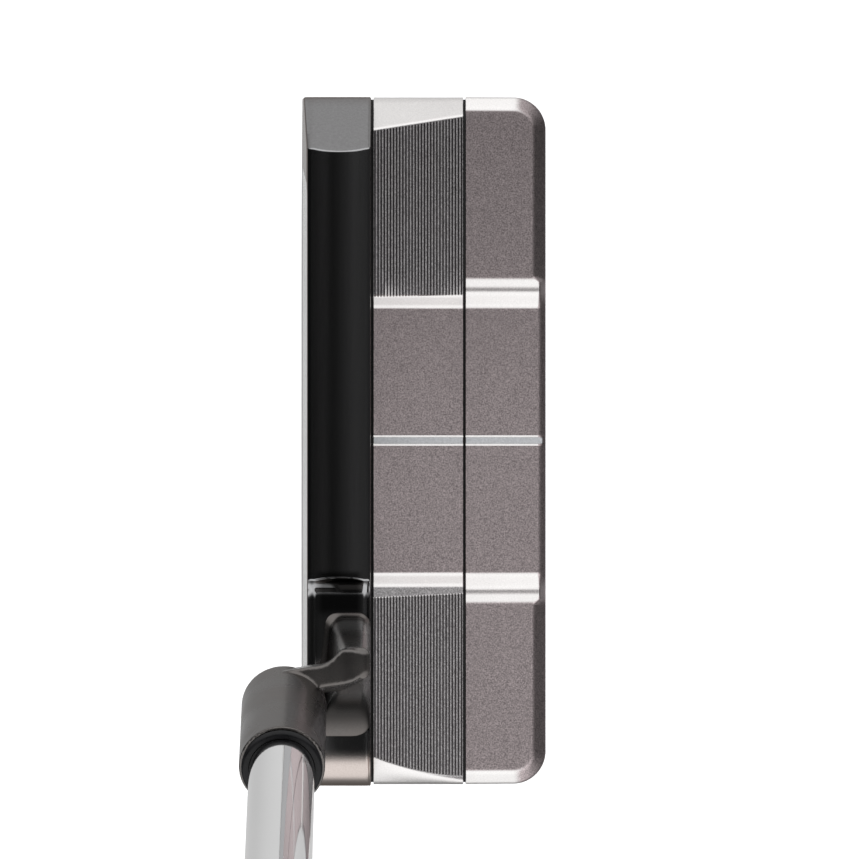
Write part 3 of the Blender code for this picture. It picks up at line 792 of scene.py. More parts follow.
INSERT_THICKNESS = 3.0 * MM
INSERT_LOW = 2.8 * MM
INSERT_HIGH = 22.0 * MM
INSERT_HALF_LOW = 42.4 * MM
INSERT_HALF_HIGH = 39.4 * MM


def insert_outline(grow, cut=2.0 * MM):
    """The face insert's outline as (y, height up the face), with both ends slanted."""
    low, high = INSERT_LOW - grow, INSERT_HIGH + grow
    half_low, half_high = INSERT_HALF_LOW + grow, INSERT_HALF_HIGH + grow
    toe_side = [(half_low - cut, low), (half_low, low + cut)]
    toe_side += [(half_high, high - cut), (half_high - cut, high)]
    return toe_side + mirrored(toe_side)


def lay_on_face(piece):
    """Leans a piece back by the loft, about the leading edge."""
    return stand(piece, Vector((LEADING_EDGE_X, 0.0, 0.0)), Matrix.Rotation(LOFT, 3, "Y"))


def screw_hole(name, low, head_radius, shank_radius, length, below):
    """The countersunk hole over a screw whose head starts at this spot."""
    slope_top = head_radius - shank_radius + 0.2 * MM
    profile = [(0, -below), (head_radius + GAP, -below), (head_radius + GAP, 0.2 * MM)]
    profile += [(shank_radius + GAP, slope_top), (shank_radius + GAP, length + GAP), (0, length + GAP)]
    return stand(turned(name, profile, segments=48), low)


def middle(node):
    """A node's centre in X and Y, at the height of its lowest point."""
    low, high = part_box(node)
    return Vector(((low.x + high.x) / 2, (low.y + high.y) / 2, low.z))


def plate_screw_holes(owner, row):
    for end in ("toe", "heel"):
        spot = middle(f"sole_screw_{row}_{end}")
        combine(owner, screw_hole(f"hole_{row}_{end}", spot, 2.3 * MM, 1.3 * MM, 6.0 * MM, 4 * MM))


def neck_screw_hole():
    spot = middle("neck_screw")
    return screw_hole("neck_screw_hole", spot, 2.6 * MM, 1.6 * MM, 20.0 * MM, 15 * MM)


def build_front_body():
    pairs = rounded_ends(front_places(), front_section, 0.25 * MM)
    rings = [[(x, y, z) for x, z in outline] for y, outline in pairs]
    body = skin("front_body_fine", rings)
    pocket = prism("insert_pocket", insert_outline(0.12 * MM), "X", -2 * MM, 4.2 * MM)
    combine(body, lay_on_face(pocket), sole_pocket())
    plate_screw_holes(body, "front")
    combine(body, neck_screw_hole())
    deliver(crisp(body), "front_body", "black_steel")


def build_insert():
    """A plate whose front is crossed by shallow milled lines, cut to the insert's outline."""
    pitch = 0.8 * MM
    front = 0.05 * MM
    section = [(INSERT_THICKNESS, 0.0), (INSERT_THICKNESS, 24.0 * MM)]
    count = int(24.0 * MM / pitch)
    for i in range(count, 0, -1):
        top = i * pitch
        section += [(front, top), (front, top - 0.5 * pitch)]
        section += [(front + 0.02 * MM, top - 0.62 * pitch), (front + 0.02 * MM, top - 0.88 * pitch)]
    section.append((front, 0.0))
    plate = prism("face_insert_fine", section, "Y", -50 * MM, 50 * MM)
    shape = prism("insert_shape", insert_outline(0.0), "X", -1 * MM, 6 * MM)
    combine(plate, shape, operation="INTERSECT")
    lay_on_face(plate)
    deliver(crisp(plate, 25.0), "face_insert", "milled_face")


# Middle section


GROOVE_PITCH = (MID_END - MID_START) / GROOVES
GROOVE_EDGE = 0.27  # half of a groove's width, as a share of the pitch


def groove(depth):
    """How far a place on the wings is cut down, with one V-shaped valley for each pitch."""
    share = (depth - MID_START) / GROOVE_PITCH % 1.0
    valley = max(1.0 - abs(share - 0.5) / GROOVE_EDGE, 0.0)
    return GROOVE_DEPTH * valley


def groove_stations():
    """Depths of each groove's two edges, its walls and its bottom."""
    shares = spread(0.5 - GROOVE_EDGE, 0.5 + GROOVE_EDGE, 4)
    return [MID_START + GROOVE_PITCH * (i + share) for i in range(GROOVES) for share in shares]


def heel_facet_start(depth):
    """Where the heel facet starts: on a curve that nears the end of the head to the rear."""
    along = (depth - MID_START) / (MID_END - MID_START)
    return HEEL_FACET_FRONT - HEEL_FACET_SWING * (1.0 - (1.0 - along) ** 1.8)


def mid_section(depth):
    """Cross-section of the middle section: facets, grooved wings, flanks and a low centre."""
    top = deck_height(depth)
    wing = top - GROOVE_LEVEL
    cut = groove(depth)
    share = (depth - MID_START) / (MID_END - MID_START)
    toe = HALF_LENGTH - (wing - TOE_FACET_END) / TOE_SLOPE
    heel = heel_facet_start(depth)
    toe_wing = (TOE_WING[0] + TOE_WING[1] * share) * MM
    heel_wing = (HEEL_WING[0] + HEEL_WING[1] * share) * MM
    ring = [(y, underside(y)) for y in spread(-HALF_LENGTH + 0.3 * MM, HALF_LENGTH - 0.3 * MM, 40)]
    corner = sole_corner(HALF_LENGTH, underside(HALF_LENGTH))
    ring += corner + [(HALF_LENGTH, TOE_FACET_END - 0.6 * MM)]
    ring.append((HALF_LENGTH - 0.08 * MM, TOE_FACET_END - 0.1 * MM))

    def toe_facet(y):
        return y, lower_of(TOE_FACET_END + (HALF_LENGTH - y) * TOE_SLOPE, wing, 0.3 * MM)

    ring += [toe_facet(y) for y in spread(HALF_LENGTH - 0.3 * MM, toe + 0.34 * MM, 6)]
    ring += [toe_facet(toe + offset * MM) for offset in (0.24, 0.16, 0.08, 0.0, -0.08, -0.16, -0.24)]
    ring += [(y, wing - cut) for y in spread(toe - 0.34 * MM, toe_wing + WING_CHAMFER, 8)]

    def channel(y):
        return y, top - CENTRE_DROP * (1.0 - ramp(abs(y), FLANK_IN, FLANK_TOP))

    ring += [channel(y) for y in spread(toe_wing, FLANK_IN - 0.1 * MM, 22)]
    ring += [channel(y) for y in spread(FLANK_IN - 1.0 * MM, -FLANK_IN + 1.0 * MM, 12)]
    ring += [channel(y) for y in spread(-FLANK_IN + 0.1 * MM, -FLANK_TOP, 22)]
    ring += [channel(y) for y in spread(-FLANK_TOP - 0.3 * MM, heel_wing, 3)]
    ring += [(y, wing - cut) for y in spread(heel_wing - WING_CHAMFER, heel + 0.26 * MM, 8)]
    slope = (wing - HEEL_FACET_END) / (heel + HALF_LENGTH)
    bulge = 0.3 * MM

    def heel_facet(y):
        along = min(max((heel - y) / (heel + HALF_LENGTH), 0.0), 1.0)
        facet = wing - (heel - y) * slope + bulge * 4 * along * (1 - along)
        return y, lower_of(facet, wing, 0.1 * MM)

    ring += [heel_facet(heel + offset * MM) for offset in (0.14, 0.07, 0.0, -0.07, -0.14)]
    ring += [heel_facet(y) for y in spread(heel - 0.25 * MM, -HALF_LENGTH + 0.3 * MM, 12)]
    ring.append((-HALF_LENGTH + 0.08 * MM, HEEL_FACET_END - 0.15 * MM))
    ring.append((-HALF_LENGTH, HEEL_FACET_END - 0.6 * MM))
    return ring + mirrored(corner)


def seat_cut(name, spot):
    """The seat of a sole weight."""
    return stand(turned(name, rectangle(0, 5.5 * MM, -6 * MM, 7.7 * MM), segments=72), spot)


def build_mid_deck():
    pairs = rounded_ends([MID_START, *groove_stations(), MID_END], mid_section, 0.05 * MM, 2)
    deck = skin("mid_deck_fine", cross_rings(pairs), 28.0)
    combine(deck, sole_pocket())
    for end in ("toe", "heel"):
        combine(deck, seat_cut(f"{end}_seat", middle(f"{end}_weight")))
    combine(deck, sight_groove("mid_sight", MID_START - 2 * MM, MID_END + 2 * MM))
    deliver(crisp_deck(deck), "mid_deck", "deck_bronze_grey")


# Rear flange


CORNER_DEPTH = HEAD_DEPTH - CORNER_RADIUS  # centres of the two round rear corners
CORNER_SIDE = HALF_LENGTH - CORNER_RADIUS
REAR_INSETS = (2.6, 2.3, 2.15, 2.0, 1.9, 1.75, 1.6, 1.4, 1.2, 1.05, 0.95, 0.85, 0.7, 0.5, 0.3, 0.2, 0.1)
RIM_OFFSETS = (0.4, 0.28, 0.16, 0.05, -0.06, -0.18, -0.3, -0.45, -0.9)


def outline_distance(depth, y):
    """How far a place lies inside the flange's outer edge, with its round rear corners."""
    past_x, past_y = depth - CORNER_DEPTH, abs(y) - CORNER_SIDE
    if past_x > 0 and past_y > 0:
        return CORNER_RADIUS - (past_x**2 + past_y**2) ** 0.5
    return min(HEAD_DEPTH - depth, HALF_LENGTH - abs(y))


def rearward(depth, y):
    """1 where the nearest outer edge is the rear one, 0 at the ends, and between in the corners."""
    past_x, past_y = depth - CORNER_DEPTH, abs(y) - CORNER_SIDE
    if past_x > 0 and past_y > 0:
        return past_x**2 / (past_x**2 + past_y**2)
    return 1.0 if HEAD_DEPTH - depth < HALF_LENGTH - abs(y) else 0.0


def flange_height(depth, y):
    """Top of the rear flange: low centre, two ribs, outer panels and a chamfered rim."""
    top = deck_height(depth)
    distance = max(outline_distance(depth, y), 0.0)
    side = abs(y)
    if side > RIB_OUT_TOP:
        relief = OUTER_DROP * (1.0 - ramp(side, RIB_OUT_TOP, RIB_OUT_FOOT))
    else:
        relief = OUTER_DROP - CENTRE_DROP * (1.0 - ramp(side, FLANK_IN, REAR_FLANK_TOP))
    level = top - OUTER_DROP + relief
    widening = eased(side, RIB_OUT_FOOT - 0.9 * MM, RIB_OUT_FOOT + 0.1 * MM)
    width = RIM_INNER + (RIM_WIDTH - RIM_INNER) * widening
    slope = SIDE_RIM_SLOPE + (RIM_SLOPE - SIDE_RIM_SLOPE) * rearward(depth, y)
    edge = top - OUTER_DROP - slope * RIM_WIDTH
    corner = 0.3 * MM
    near_edge = max(corner - distance, 0.0) / corner
    rim = edge + (level - edge) * distance / width - corner * (1 - (1 - near_edge**2) ** 0.5)
    return lower_of(level, rim, 0.4 * MM)


def half_length(depth, radius):
    """Half the length of an outline at a depth, with round rear corners of this radius."""
    into_corner = max(depth - CORNER_DEPTH, 0.0)
    return CORNER_SIDE + max(radius**2 - into_corner**2, 0.0) ** 0.5


def flange_section(depth):
    half = half_length(depth, CORNER_RADIUS)
    rise = SOLE_RISE * max(depth - SOLE_RISE_START, 0.0)
    ring = [(y, underside(y) + rise) for y in spread(-half + 0.3 * MM, half - 0.3 * MM, 40)]
    inner = min(half_length(depth, CORNER_RADIUS - RIM_WIDTH), half - 0.1 * MM)
    width = half - inner
    across = [half - width * share for share in (0.0, 0.004, 0.015, 0.04, 0.08, 0.13, 0.2, 0.4, 0.6, 0.8)]
    across += [inner + offset * MM for offset in RIM_OFFSETS]
    across.sort(reverse=True)
    across += spread(across[-1], RIB_OUT_FOOT + 0.1 * MM, 22)[1:-1]
    across += spread(RIB_OUT_FOOT + 0.1 * MM, RIB_OUT_TOP, 18)
    across += spread(RIB_OUT_TOP, REAR_FLANK_TOP, 3)[1:]
    across += spread(REAR_FLANK_TOP, FLANK_IN - 0.1 * MM, 24)[1:]
    across += spread(FLANK_IN - 1.0 * MM, 1.0 * MM, 6)
    side = sole_corner(half, underside(half) + rise)
    side += [(y, flange_height(depth, y)) for y in across]
    return ring + side + mirrored(side)


def build_rear_flange():
    start_round = 0.05 * MM
    turning = [CORNER_DEPTH + CORNER_RADIUS * sin(radians(a)) for a in range(3, 90, 3)]
    rear = [HEAD_DEPTH - inset * MM for inset in REAR_INSETS]
    depths = [REAR_START, *spread(REAR_START + start_round, CORNER_DEPTH, 16)]
    depths += [*sorted(turning + rear), HEAD_DEPTH]
    pairs = [(depth, flange_section(depth)) for depth in depths]
    pairs[0] = REAR_START, shrunk(pairs[0][1], start_round)
    flange = skin("rear_flange_fine", cross_rings(pairs), 28.0)
    combine(flange, sole_pocket())
    plate_screw_holes(flange, "rear")
    combine(flange, sight_groove("rear_sight", REAR_START - 2 * MM, HEAD_DEPTH - 0.45 * MM))
    deliver(crisp_deck(flange), "rear_flange", "flange_bronze_grey")


def filler_outline(depth):
    """A plain outline that stays just inside the middle section all round."""
    inset = 0.35 * MM
    places = spread(-HALF_LENGTH + inset, HALF_LENGTH - inset, 150)

    def top_at(y):
        level = deck_height(depth) - CENTRE_DROP * (1.0 - ramp(abs(y), FLANK_IN, FLANK_TOP))
        toe = TOE_FACET_END + (HALF_LENGTH - y) * TOE_SLOPE
        heel = HEEL_FACET_END + (HALF_LENGTH + y) * HEEL_SLOPE
        return min(level - GROOVE_LEVEL, toe, heel) - inset

    return [(y, underside(y) + inset) for y in places] + [(y, top_at(y)) for y in places[::-1]]


def build_seam_fillers():
    """Dark bonding compound in the two seams, set a little below the surface."""
    clear = 0.02 * MM
    for name, start, end in (("seam_front", FRONT_DEPTH, MID_START), ("seam_rear", MID_END, REAR_START)):
        pairs = [(depth, filler_outline(end)) for depth in (start + clear, end - clear)]
        filler = skin(name, cross_rings(pairs))
        combine(filler, sole_pocket())
        dress(filler, "elastomer")
        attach(filler, "club")


# Sight line


def sight_level(depth):
    """Height of the deck along the sight line, over the rear chamfer too."""
    inside = min(depth, HEAD_DEPTH - 0.3 * MM)
    return flange_height(inside, 0.0) - (depth - inside) * RIM_SLOPE


def sight_strip(name, start, end, points):
    """A long body along the sight line with this cross-section."""
    near_rear = [place for place in spread(HEAD_DEPTH - 1.6 * MM, HEAD_DEPTH, 16) if place < end]
    places = [start, *near_rear, end]
    rings = [[(depth_x(depth), y, sight_level(depth) + z) for y, z in points] for depth in places]
    return skin(name, rings, 25.0)


SIGHT_BEVEL = 0.3 * MM


def sight_groove(name, start, end):
    """The paint's groove: a slot with a wider, sloped top edge on each side."""
    inner, outer = SIGHT_WIDTH / 2 - SIGHT_BEVEL, SIGHT_WIDTH / 2
    points = [(-inner, -SIGHT_DEPTH), (inner, -SIGHT_DEPTH), (inner, -0.8 * SIGHT_BEVEL), (outer, 0.0)]
    points += [(outer + SIGHT_BEVEL, 0.8 * SIGHT_BEVEL), (outer + SIGHT_BEVEL, 3 * MM)]
    points += mirrored(points[2:])
    return sight_strip(name, start, end, points)


def build_sight_line(node, start, end):
    """A low-crowned bar of enamel that fills the slot up to the foot of its bevels."""
    half = SIGHT_WIDTH / 2 - SIGHT_BEVEL - 0.02 * MM
    low = -SIGHT_DEPTH + 0.1 * MM
    points = [(-half, low), (half, low)]
    points += [(y, -0.26 * MM + 0.08 * MM * (1 - (y / half) ** 2)) for y in spread(half, -half, 10)]
    strip = sight_strip(f"{node}_fine", start, end, points)
    deliver(strip, node, "sight_paint")


def build_sight_lines():
    build_sight_line("sight_line_mid", MID_START + 0.05 * MM, MID_END - 0.05 * MM)
    build_sight_line("sight_line_rear", REAR_START + 0.05 * MM, HEAD_DEPTH - 0.5 * MM)


# Sole hardware


def lobed_cutter(name, spot, radius, depth, lobes=6):
    """A six-lobed driver socket, cut upwards from below a spot."""
    outline = []
    for i in range(72):
        angle = 2 * pi * i / 72
        reach = radius * (1.0 - 0.13 * (1.0 - cos(lobes * angle)) / 2 * 1.6)
        outline.append((spot.x + reach * cos(angle), spot.y + reach * sin(angle)))
    return prism(name, outline, "Z", spot.z - 2 * MM, spot.z + depth)


def build_sole_plate():
    """The plate, with eased edges, countersinks and a shallow recessed border line."""
    edge = 0.25 * MM
    rings = []
    for height, inset in ((0.0, edge), (0.3 * edge, 0.3 * edge), (edge, 0.0), (PLATE_HIGH.z, 0.0)):
        rings.append([(x, y, height) for x, y in sole_plate_outline(-inset)])
    plate = skin("sole_plate_fine", rings)
    border = []
    for inset, height in ((1.6, -0.2), (1.6, 0.15), (2.0, 0.15), (2.0, -0.2)):
        border.append([(x, y, height * MM) for x, y in sole_plate_outline(-inset * MM)])
    combine(plate, skin("border", border, looped=True))
    for row in ("front", "rear"):
        plate_screw_holes(plate, row)
    deliver(crisp(plate), "sole_plate", "plate_aluminium")


def threads(first_radius, second_radius, start, pitch, turns):
    """Profile points of a coarse thread, which goes from one radius to the other and back."""
    points = []
    for i in range(turns):
        points += [(first_radius, start + i * pitch), (second_radius, start + (i + 0.5) * pitch)]
    return points


def build_screw(node, shank, flat, rise, thread, tip, drive):
    """A countersunk screw: head edge, slope, shank, thread, tapered tip and driver socket."""
    low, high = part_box(node)
    spot = middle(node)
    head, length = (high.x - low.x) / 2, high.z - low.z
    profile = [(0, 0), (head - 0.15 * MM, 0), (head, 0.1 * MM), (head, flat)]
    profile.append((shank, head - shank + rise))
    profile += threads(shank, *thread)
    profile += [(shank - tip, length), (0, length)]
    screw = stand(turned(f"{node}_fine", profile, 40, 30.0), spot)
    combine(screw, lobed_cutter(f"{node}_drive", spot, *drive))
    deliver(crisp(screw, 30.0), node, "screw_steel")


def build_plate_screws():
    shank = 1.3 * MM
    thread = shank - 0.18 * MM, 1.6 * MM, 0.5 * MM, 8
    drive = 1.1 * MM, 0.9 * MM
    for row in ("front", "rear"):
        for end in ("toe", "heel"):
            node = f"sole_screw_{row}_{end}"
            build_screw(node, shank, 0.25 * MM, 0.2 * MM, thread, 0.3 * MM, drive)


def build_neck_screw():
    shank = 1.6 * MM
    thread = shank - 0.22 * MM, 3.0 * MM, 0.6 * MM, 26
    drive = 1.4 * MM, 1.2 * MM
    build_screw("neck_screw", shank, 0.3 * MM, 0.3 * MM, thread, 0.4 * MM, drive)


def build_weights():
    for end in ("toe", "heel"):
        node = f"{end}_weight"
        low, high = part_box(node)
        spot = middle(node)
        radius, length = (high.x - low.x) / 2, high.z - low.z
        profile = [(0, 0.12 * MM), (radius - 1.5 * MM, 0.12 * MM), (radius - 1.35 * MM, 0)]
        profile += [(radius - 0.4 * MM, 0), (radius - 0.12 * MM, 0.1 * MM)]
        profile += [(radius, 0.4 * MM), (radius, 1.4 * MM)]
        profile += threads(radius - 0.25 * MM, radius, 1.6 * MM, 0.6 * MM, 7)
        profile += [(radius - 0.4 * MM, length), (0, length)]
        weight = stand(turned(f"{node}_fine", profile, 96, 30.0), spot)
        combine(weight, lobed_cutter(f"{node}_drive", spot, 1.9 * MM, 1.7 * MM))
        for side in (-2.9 * MM, 2.9 * MM):
            pin = turned(f"{node}_pin", rectangle(0, 0.45 * MM, -1 * MM, 0.9 * MM), segments=24)
            combine(weight, stand(pin, spot + Vector((side, 0, 0))))
        deliver(crisp(weight, 30.0), node, "weight_steel", node)


# Neck


POST_FRONT = 4.7 * MM
POST_TOP = 41.0 * MM
POST_TOE_SIDE = -26.9 * MM  # sides of the post where it leaves the heel, and under the arm
POST_HEEL_SIDE = -36.1 * MM
FLARE_START = -38.0 * MM  # where the post's front face starts to spread towards its heel end
POST_FLARE = 0.35
ARM_LEAN = 0.1


def post_ring(height):
    """The neck's post at a height: wide where it leaves the heel, slim under the arm."""
    share = (height - HEEL_FLOOR) / (POST_TOP - HEEL_FLOOR)
    foot = max(1.0 - (height - HEEL_FLOOR - GAP) / (1.1 * MM), 0.0) ** 2
    toe_side = POST_TOE_SIDE - 4.4 * MM * share + 0.8 * MM * foot
    heel_side = POST_HEEL_SIDE - 5.2 * MM * (1.0 - share) ** 1.3 - 4.6 * MM * (1.0 - share) ** 6
    front = depth_x(POST_FRONT + 1.9 * MM * share - 0.9 * MM * foot)
    radius = (1.25 + 0.9 * (1.0 - share) ** 4) * MM
    rear = depth_x(FRONT_DEPTH)
    ring = []
    for x, y in rounded_rectangle(front, rear, heel_side, toe_side, radius, 6):
        flare = POST_FLARE * max(FLARE_START - y, 0.0) * (rear - x) / (rear - front)
        ring.append((x - flare, y, height))
    return ring


ARM_STATIONS = (
    (10.8, -34.2, -32.6, 33.0, 40.6),
    (10.2, -35.2, -32.0, 32.0, 41.2),
    (8.6, -36.4, -31.6, 31.0, 41.6),
    (6.8, -36.9, -31.6, 31.0, 41.9),
    (5.4, -37.1, -32.9, 31.0, 42.2),
    (4.0, -37.3, -33.8, 31.0, 42.5),
    (1.4, -37.8, -34.2, 31.0, 43.1),
    (-2.1, -38.6, -34.8, 32.0, 43.6),
)  # depth, heel side, toe side, underside and top, in millimetres


def arm_at(place):
    """The arm's numbers between its stations, on a smooth curve."""
    last = len(ARM_STATIONS) - 1
    index = min(int(place * last), last - 1)
    share = place * last - index
    before = ARM_STATIONS[max(index - 1, 0)]
    near, far = ARM_STATIONS[index], ARM_STATIONS[index + 1]
    after = ARM_STATIONS[min(index + 2, last)]
    values = []
    for a, b, c, d in zip(before, near, far, after):
        bend, twist = 2 * a - 5 * b + 4 * c - d, 3 * b - a - 3 * c + d
        values.append(0.5 * (2 * b + (c - a) * share + bend * share**2 + twist * share**3))
    return values


def arm_ring(place):
    """The arm's cross-section, with a heel side that leans out towards its underside."""
    depth, heel, toe, low, high = (value * MM for value in arm_at(place))
    outline = rounded_rectangle(heel, toe, low, high, 0.35 * MM, 4)
    centre = (heel + toe) / 2
    return [(depth_x(depth), y - ARM_LEAN * (high - z) * (y < centre), z) for y, z in outline]


def build_neck():
    """Post, arm and leaning socket, fused and eased, then bored for the shaft."""
    base = HEEL_FLOOR + GAP
    heights = [base + (POST_TOP - base) * (i / 24) ** 1.5 for i in range(25)]
    rings = [post_ring(height) for height in heights]
    below = [(x, y, base - 1 * MM) for x, y, _ in rings[0]]
    neck = skin("hosel_neck_fine", [below, *rings])
    arm = skin("neck_arm", [arm_ring(place) for place in spread(0.0, 1.0, 42)])
    bottom = -BARREL_LENGTH
    barrel = [(0, bottom), (3.2 * MM, bottom), (5.2 * MM, bottom + 0.9 * MM)]
    barrel += [(BARREL_RADIUS, bottom + 3.0 * MM), (BARREL_RADIUS, 0), (0, 0)]
    combine(neck, arm, lay_on_shaft(turned("neck_barrel", barrel)), operation="UNION")
    change(neck, "REMESH", mode="VOXEL", voxel_size=0.2 * MM, adaptivity=0.0)
    change(neck, "SMOOTH", factor=0.5, iterations=6)
    rim = prism("mouth_trim", rounded_rectangle(-9 * MM, 9 * MM, -9 * MM, 9 * MM, 1 * MM), "Z", 0.0, 6 * MM)
    combine(neck, lay_on_shaft(rim))
    under = rectangle(depth_x(0), depth_x(20 * MM), -60 * MM, 0)
    combine(neck, prism("base_trim", under, "Z", 10 * MM, base))
    bore = SHAFT_TIP_RADIUS + GAP
    socket = [(0, -SOCKET_DEPTH - GAP), (bore, -SOCKET_DEPTH - GAP), (bore, -0.4 * MM)]
    socket += [(bore + 0.4 * MM, 0.0), (bore + 0.4 * MM, 5 * MM), (0, 5 * MM)]
    combine(neck, lay_on_shaft(turned("neck_socket", socket)))
    combine(neck, neck_screw_hole())
    deliver(crisp(neck, 35.0), "hosel_neck", "neck_graphite")


def build_ferrule():
    inner = SHAFT_TIP_RADIUS + 0.06 * MM
    profile = [(inner, GAP), (6.0 * MM, GAP), (6.1 * MM, 0.45 * MM), (6.05 * MM, 0.7 * MM)]
    profile += [(5.9 * MM, 0.95 * MM), (5.65 * MM, 1.13 * MM), (5.3 * MM, 1.2 * MM), (inner, 1.2 * MM)]
    ring = lay_on_shaft(turned("ferrule_fine", profile, 96))
    deliver(ring, "ferrule", "ferrule_plastic")


# Shaft and grip


SHAFT_STEPS = 14
STEP_START = 150.0 * MM
STEP_PITCH = 26.0 * MM


def build_shaft():
    """A steel tube, parallel at the tip, stepped up to a parallel butt under the grip."""
    outer = [(SHAFT_TIP_RADIUS, -SOCKET_DEPTH)]
    rise = (SHAFT_BUTT_RADIUS - SHAFT_TIP_RADIUS) / SHAFT_STEPS
    for step in range(SHAFT_STEPS):
        along = STEP_START + step * STEP_PITCH
        for share in (0.0, 0.2, 0.5, 0.8, 1.0):
            radius = SHAFT_TIP_RADIUS + rise * (step + eased(share, 0.0, 1.0))
            outer.append((radius, along + 1.5 * MM * share))
    top = BUTT - 3.5 * MM
    outer += [(SHAFT_BUTT_RADIUS, top - 0.1 * MM), (SHAFT_BUTT_RADIUS - 0.1 * MM, top)]
    bore = SHAFT_TIP_RADIUS - 0.6 * MM
    outer += [(bore, top), (bore, -SOCKET_DEPTH)]
    shaft = lay_on_shaft(turned("shaft_fine", outer, 96))
    deliver(shaft, "shaft", "shaft_chrome")


GRIP_STATIONS = (
    (0.0, 9.6, 9.4, 9.6),
    (6.0, 10.4, 10.0, 10.4),
    (60.0, 11.3, 10.3, 11.4),
    (130.0, 12.2, 10.6, 12.6),
    (180.0, 12.6, 10.8, 13.6),
    (215.0, 13.0, 10.9, 15.4),
    (240.0, 13.4, 11.0, 17.0),
    (256.0, 13.5, 11.0, 17.4),
    (263.0, 13.3, 10.8, 17.0),
)  # distance from the grip's mouth, half width, front and back reach, in millimetres


def grip_size(along):
    """Half width, front and back reach at a distance from the grip's mouth, all in metres."""
    for near, far in zip(GRIP_STATIONS, GRIP_STATIONS[1:]):
        if along <= far[0] * MM:
            share = max(along / MM - near[0], 0.0) / (far[0] - near[0])
            return [(a + (b - a) * share) * MM for a, b in zip(near[1:], far[1:])]
    return [value * MM for value in GRIP_STATIONS[-1][1:]]


def grip_point(angle, width, front, back):
    across, out = cos(angle), sin(angle)
    squeeze = 0.993 + 0.12 * max(out, 0.0)
    reach = front * max(out, 0.0) ** 0.7 if out > 0 else back * out
    return width * across * squeeze, reach


def grip_tread(along, angle):
    """Depth of the moulded pattern: slanted ribs round the back and lines on the thumb side."""
    end_fade = eased(along, 14 * MM, 20 * MM) * (1 - eased(along, 236 * MM, 242 * MM))
    out = sin(angle)
    thumbs = eased(out, 0.62, 0.72)
    line = 0.5 + 0.5 * cos(2 * pi * along / (4 * MM))
    ribs = 0.5 + 0.5 * cos(2 * pi * (along / (5 * MM) + 3 * abs(angle / pi - 1.5)))
    sides = 1 - eased(out, 0.45, 0.55)
    return 0.28 * MM * end_fade * (thumbs * eased(line, 0.6, 0.85) + sides * eased(ribs, 0.62, 0.85))


def build_grip():
    """A pistol grip with a flat thumb side, closed round its bore."""
    segments = 168
    bore = SHAFT_BUTT_RADIUS + 0.9 * MM
    length = GRIP_STATIONS[-1][0] * MM
    places = [0.0, 0.3 * MM, 0.9 * MM, 2.0 * MM, *spread(4.0 * MM, length - 2.0 * MM, 420)]
    places += [length - 0.9 * MM, length - 0.3 * MM, length]
    rings = []
    for along in places:
        lip = 0.8 * MM * (1 - min(along, length - along, 0.9 * MM) / (0.9 * MM)) ** 2
        width, front, back = grip_size(along)
        ring = []
        for i in range(segments):
            angle = 2 * pi * i / segments
            x, y = grip_point(angle, width, front, back)
            size = (x * x + y * y) ** 0.5
            keep = 1.0 - (grip_tread(along, angle) + lip) / size
            ring.append((x * keep, y * keep, GRIP_START + along))
        rings.append(ring)
    for along in (length, 0.0):
        rings.append([
            (bore * cos(2 * pi * i / segments), bore * sin(2 * pi * i / segments), GRIP_START + along)
            for i in range(segments)
        ])
    grip = skin("grip_fine", rings, 45.0, looped=True)
    deliver(lay_on_shaft(grip), "grip", "grip_rubber")


def build_grip_cap():
    low, high = GRIP_STATIONS[-1][0] * MM + GAP, 2.7 * MM
    rings = []
    for share in spread(0.0, 1.0, 12):
        shrink = (0.2 + 0.5 * share + 2.9 * share**4) * MM
        size = [value * MM - shrink for value in GRIP_STATIONS[-1][1:]]
        ring = []
        for i in range(120):
            x, y = grip_point(2 * pi * i / 120, *size)
            ring.append((x, y, GRIP_START + low + high * share))
        rings.append(ring)
    cap = skin("grip_cap_fine", rings)
    top = GRIP_START + low + high
    circle = rectangle(3.4 * MM, 4.0 * MM, top - 0.5 * MM, top + 1 * MM)
    combine(cap, turned("cap_ring", circle, segments=72))
    vent = rectangle(0, 0.9 * MM, top - 9 * MM, top + 1 * MM)
    combine(cap, turned("cap_vent", vent, segments=32))
    deliver(lay_on_shaft(crisp(cap)), "grip_cap", "grip_rubber")


def dress_hidden_pieces():
    """Pieces that stay as packed, inside the assembly."""
    for node in ("insert_backing", "toe_weight_washer", "heel_weight_washer", "grip_tape"):
        dress(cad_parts[node], "grip_tape_paper" if node == "grip_tape" else "elastomer")


# Studio


PANEL_LIGHT = 1.65
TABLE_LIGHT = 0.9  # the table near the camera, seen by the head's edges
BEYOND_LIGHT = 0.75


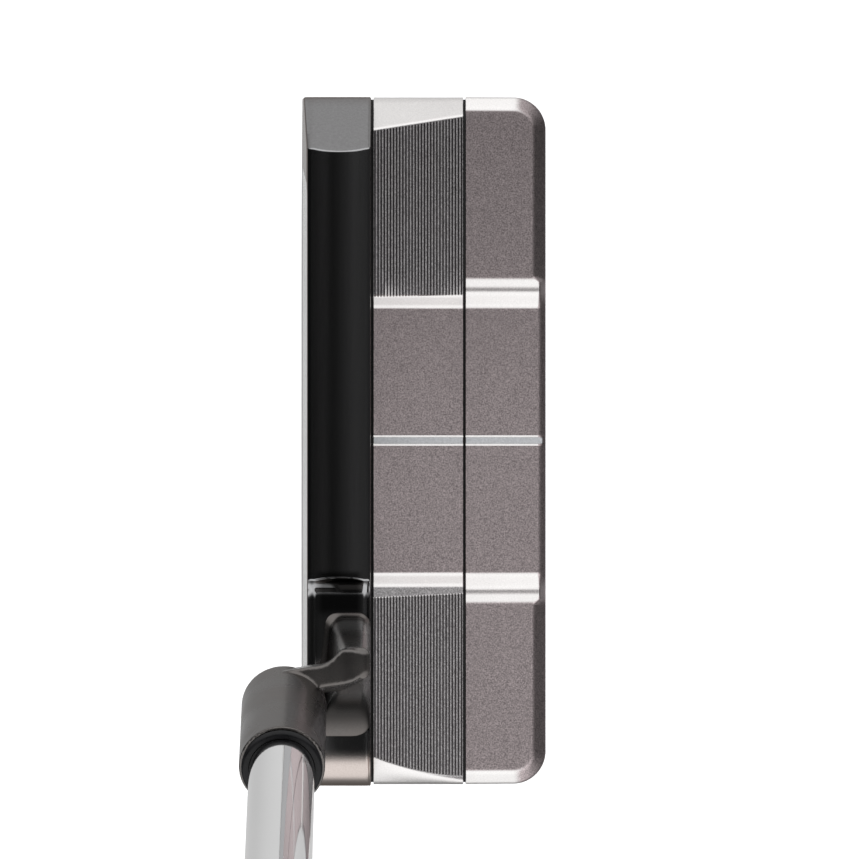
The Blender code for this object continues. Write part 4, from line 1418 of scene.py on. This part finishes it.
def build_world():
    """Soft white panels beyond the toe and the heel, a dark ceiling and a bright table."""
    world = bpy.data.worlds.new("studio")
    bpy.context.scene.world = world
    n = Nodes(world)
    n.tree.nodes.clear()
    split = n.add("SeparateXYZ")
    n.link(n.add("TexCoord").outputs["Generated"], split.inputs["Vector"])
    x, y, z = split.outputs

    def rise(value, low, high, to_low=0.0, to_high=1.0):
        return n.remap(value, low, high, to_low, to_high, smooth=True)

    level = n.math("MAXIMUM", n.math("SUBTRACT", 1.0, n.times(z, z)), 1e-4)
    side = n.math("DIVIDE", n.size(y), n.math("POWER", level, 0.5))
    far_side = rise(side, 0.3, 1.05)
    panel = n.times(rise(z, 0.97, 0.86), rise(z, -0.3, 0.05), rise(side, 0.12, 0.55), PANEL_LIGHT)
    table = n.times(rise(z, 0.0, -0.2), far_side, rise(y, -0.6, -0.1, 0.25, 1.0), TABLE_LIGHT)
    beyond = n.times(rise(z, -0.6, -0.97), n.math("SUBTRACT", 1.0, far_side), BEYOND_LIGHT)
    total = rise(x, -0.3, 0.3, 0.01, 0.05)
    for share in (panel, table, beyond):
        total = n.math("ADD", total, share)
    soft, pale, blend = n.add("Background"), n.add("Background"), n.add("MixShader")
    pale.inputs["Color"].default_value = (1.0, 1.0, 1.0, 1.0)
    n.link(total, soft.inputs["Strength"])
    n.link(n.add("LightPath").outputs["Is Camera Ray"], blend.inputs[0])
    n.link(soft.outputs[0], blend.inputs[1])
    n.link(pale.outputs[0], blend.inputs[2])
    n.link(blend.outputs[0], n.add("OutputWorld").inputs["Surface"])


def build_floor():
    """A plain pale table top, low enough for a loosened weight to clear it. In metres."""
    half, height = 30.0, -0.05
    mesh = bpy.data.meshes.new("floor")
    corners = [(-half, -half, height), (half, -half, height), (half, half, height), (-half, half, height)]
    mesh.from_pydata(corners, [], [(0, 1, 2, 3)])
    floor = bpy.data.objects.new("floor", mesh)
    bpy.context.scene.collection.objects.link(floor)
    n = new_look("floor_white")
    grain = n.noise(40.0, 2.0)
    tone = n.mix(grain, (0.90, 0.90, 0.90), (0.93, 0.93, 0.93))
    glow = {"Emission_Color": (1.0, 1.0, 1.0), "Emission_Strength": 0.5}
    n.surface(colour=tone, metallic=0.0, roughness=0.9, **glow)
    dress(floor, "floor_white")
    floor.visible_glossy = False


def build_camera():
    """Straight down over the head, with the toe at the top of the picture."""
    data = bpy.data.cameras.new("camera")
    camera = bpy.data.objects.new("camera", data)
    bpy.context.scene.collection.objects.link(camera)
    plane = 10 * MM
    above = 1.6
    seen = 132.7 * MM
    data.sensor_width = 36.0
    data.lens = data.sensor_width * above / seen
    data.clip_start = 0.05
    data.clip_end = 100.0
    camera.location = (depth_x(20.0 * MM), 1.7 * MM, plane + above)
    bpy.context.scene.camera = camera


HEAD = build_front_body, build_insert, build_mid_deck, build_rear_flange, build_seam_fillers
HARDWARE = build_sight_lines, build_sole_plate, build_plate_screws, build_weights, build_neck
CLUB = build_neck_screw, build_ferrule, build_shaft, build_grip, build_grip_cap
STUDIO = dress_hidden_pieces, build_world, build_floor, build_camera
for build in HEAD + HARDWARE + CLUB + STUDIO:
    build()
bpy.context.scene.view_settings.view_transform = "Standard"
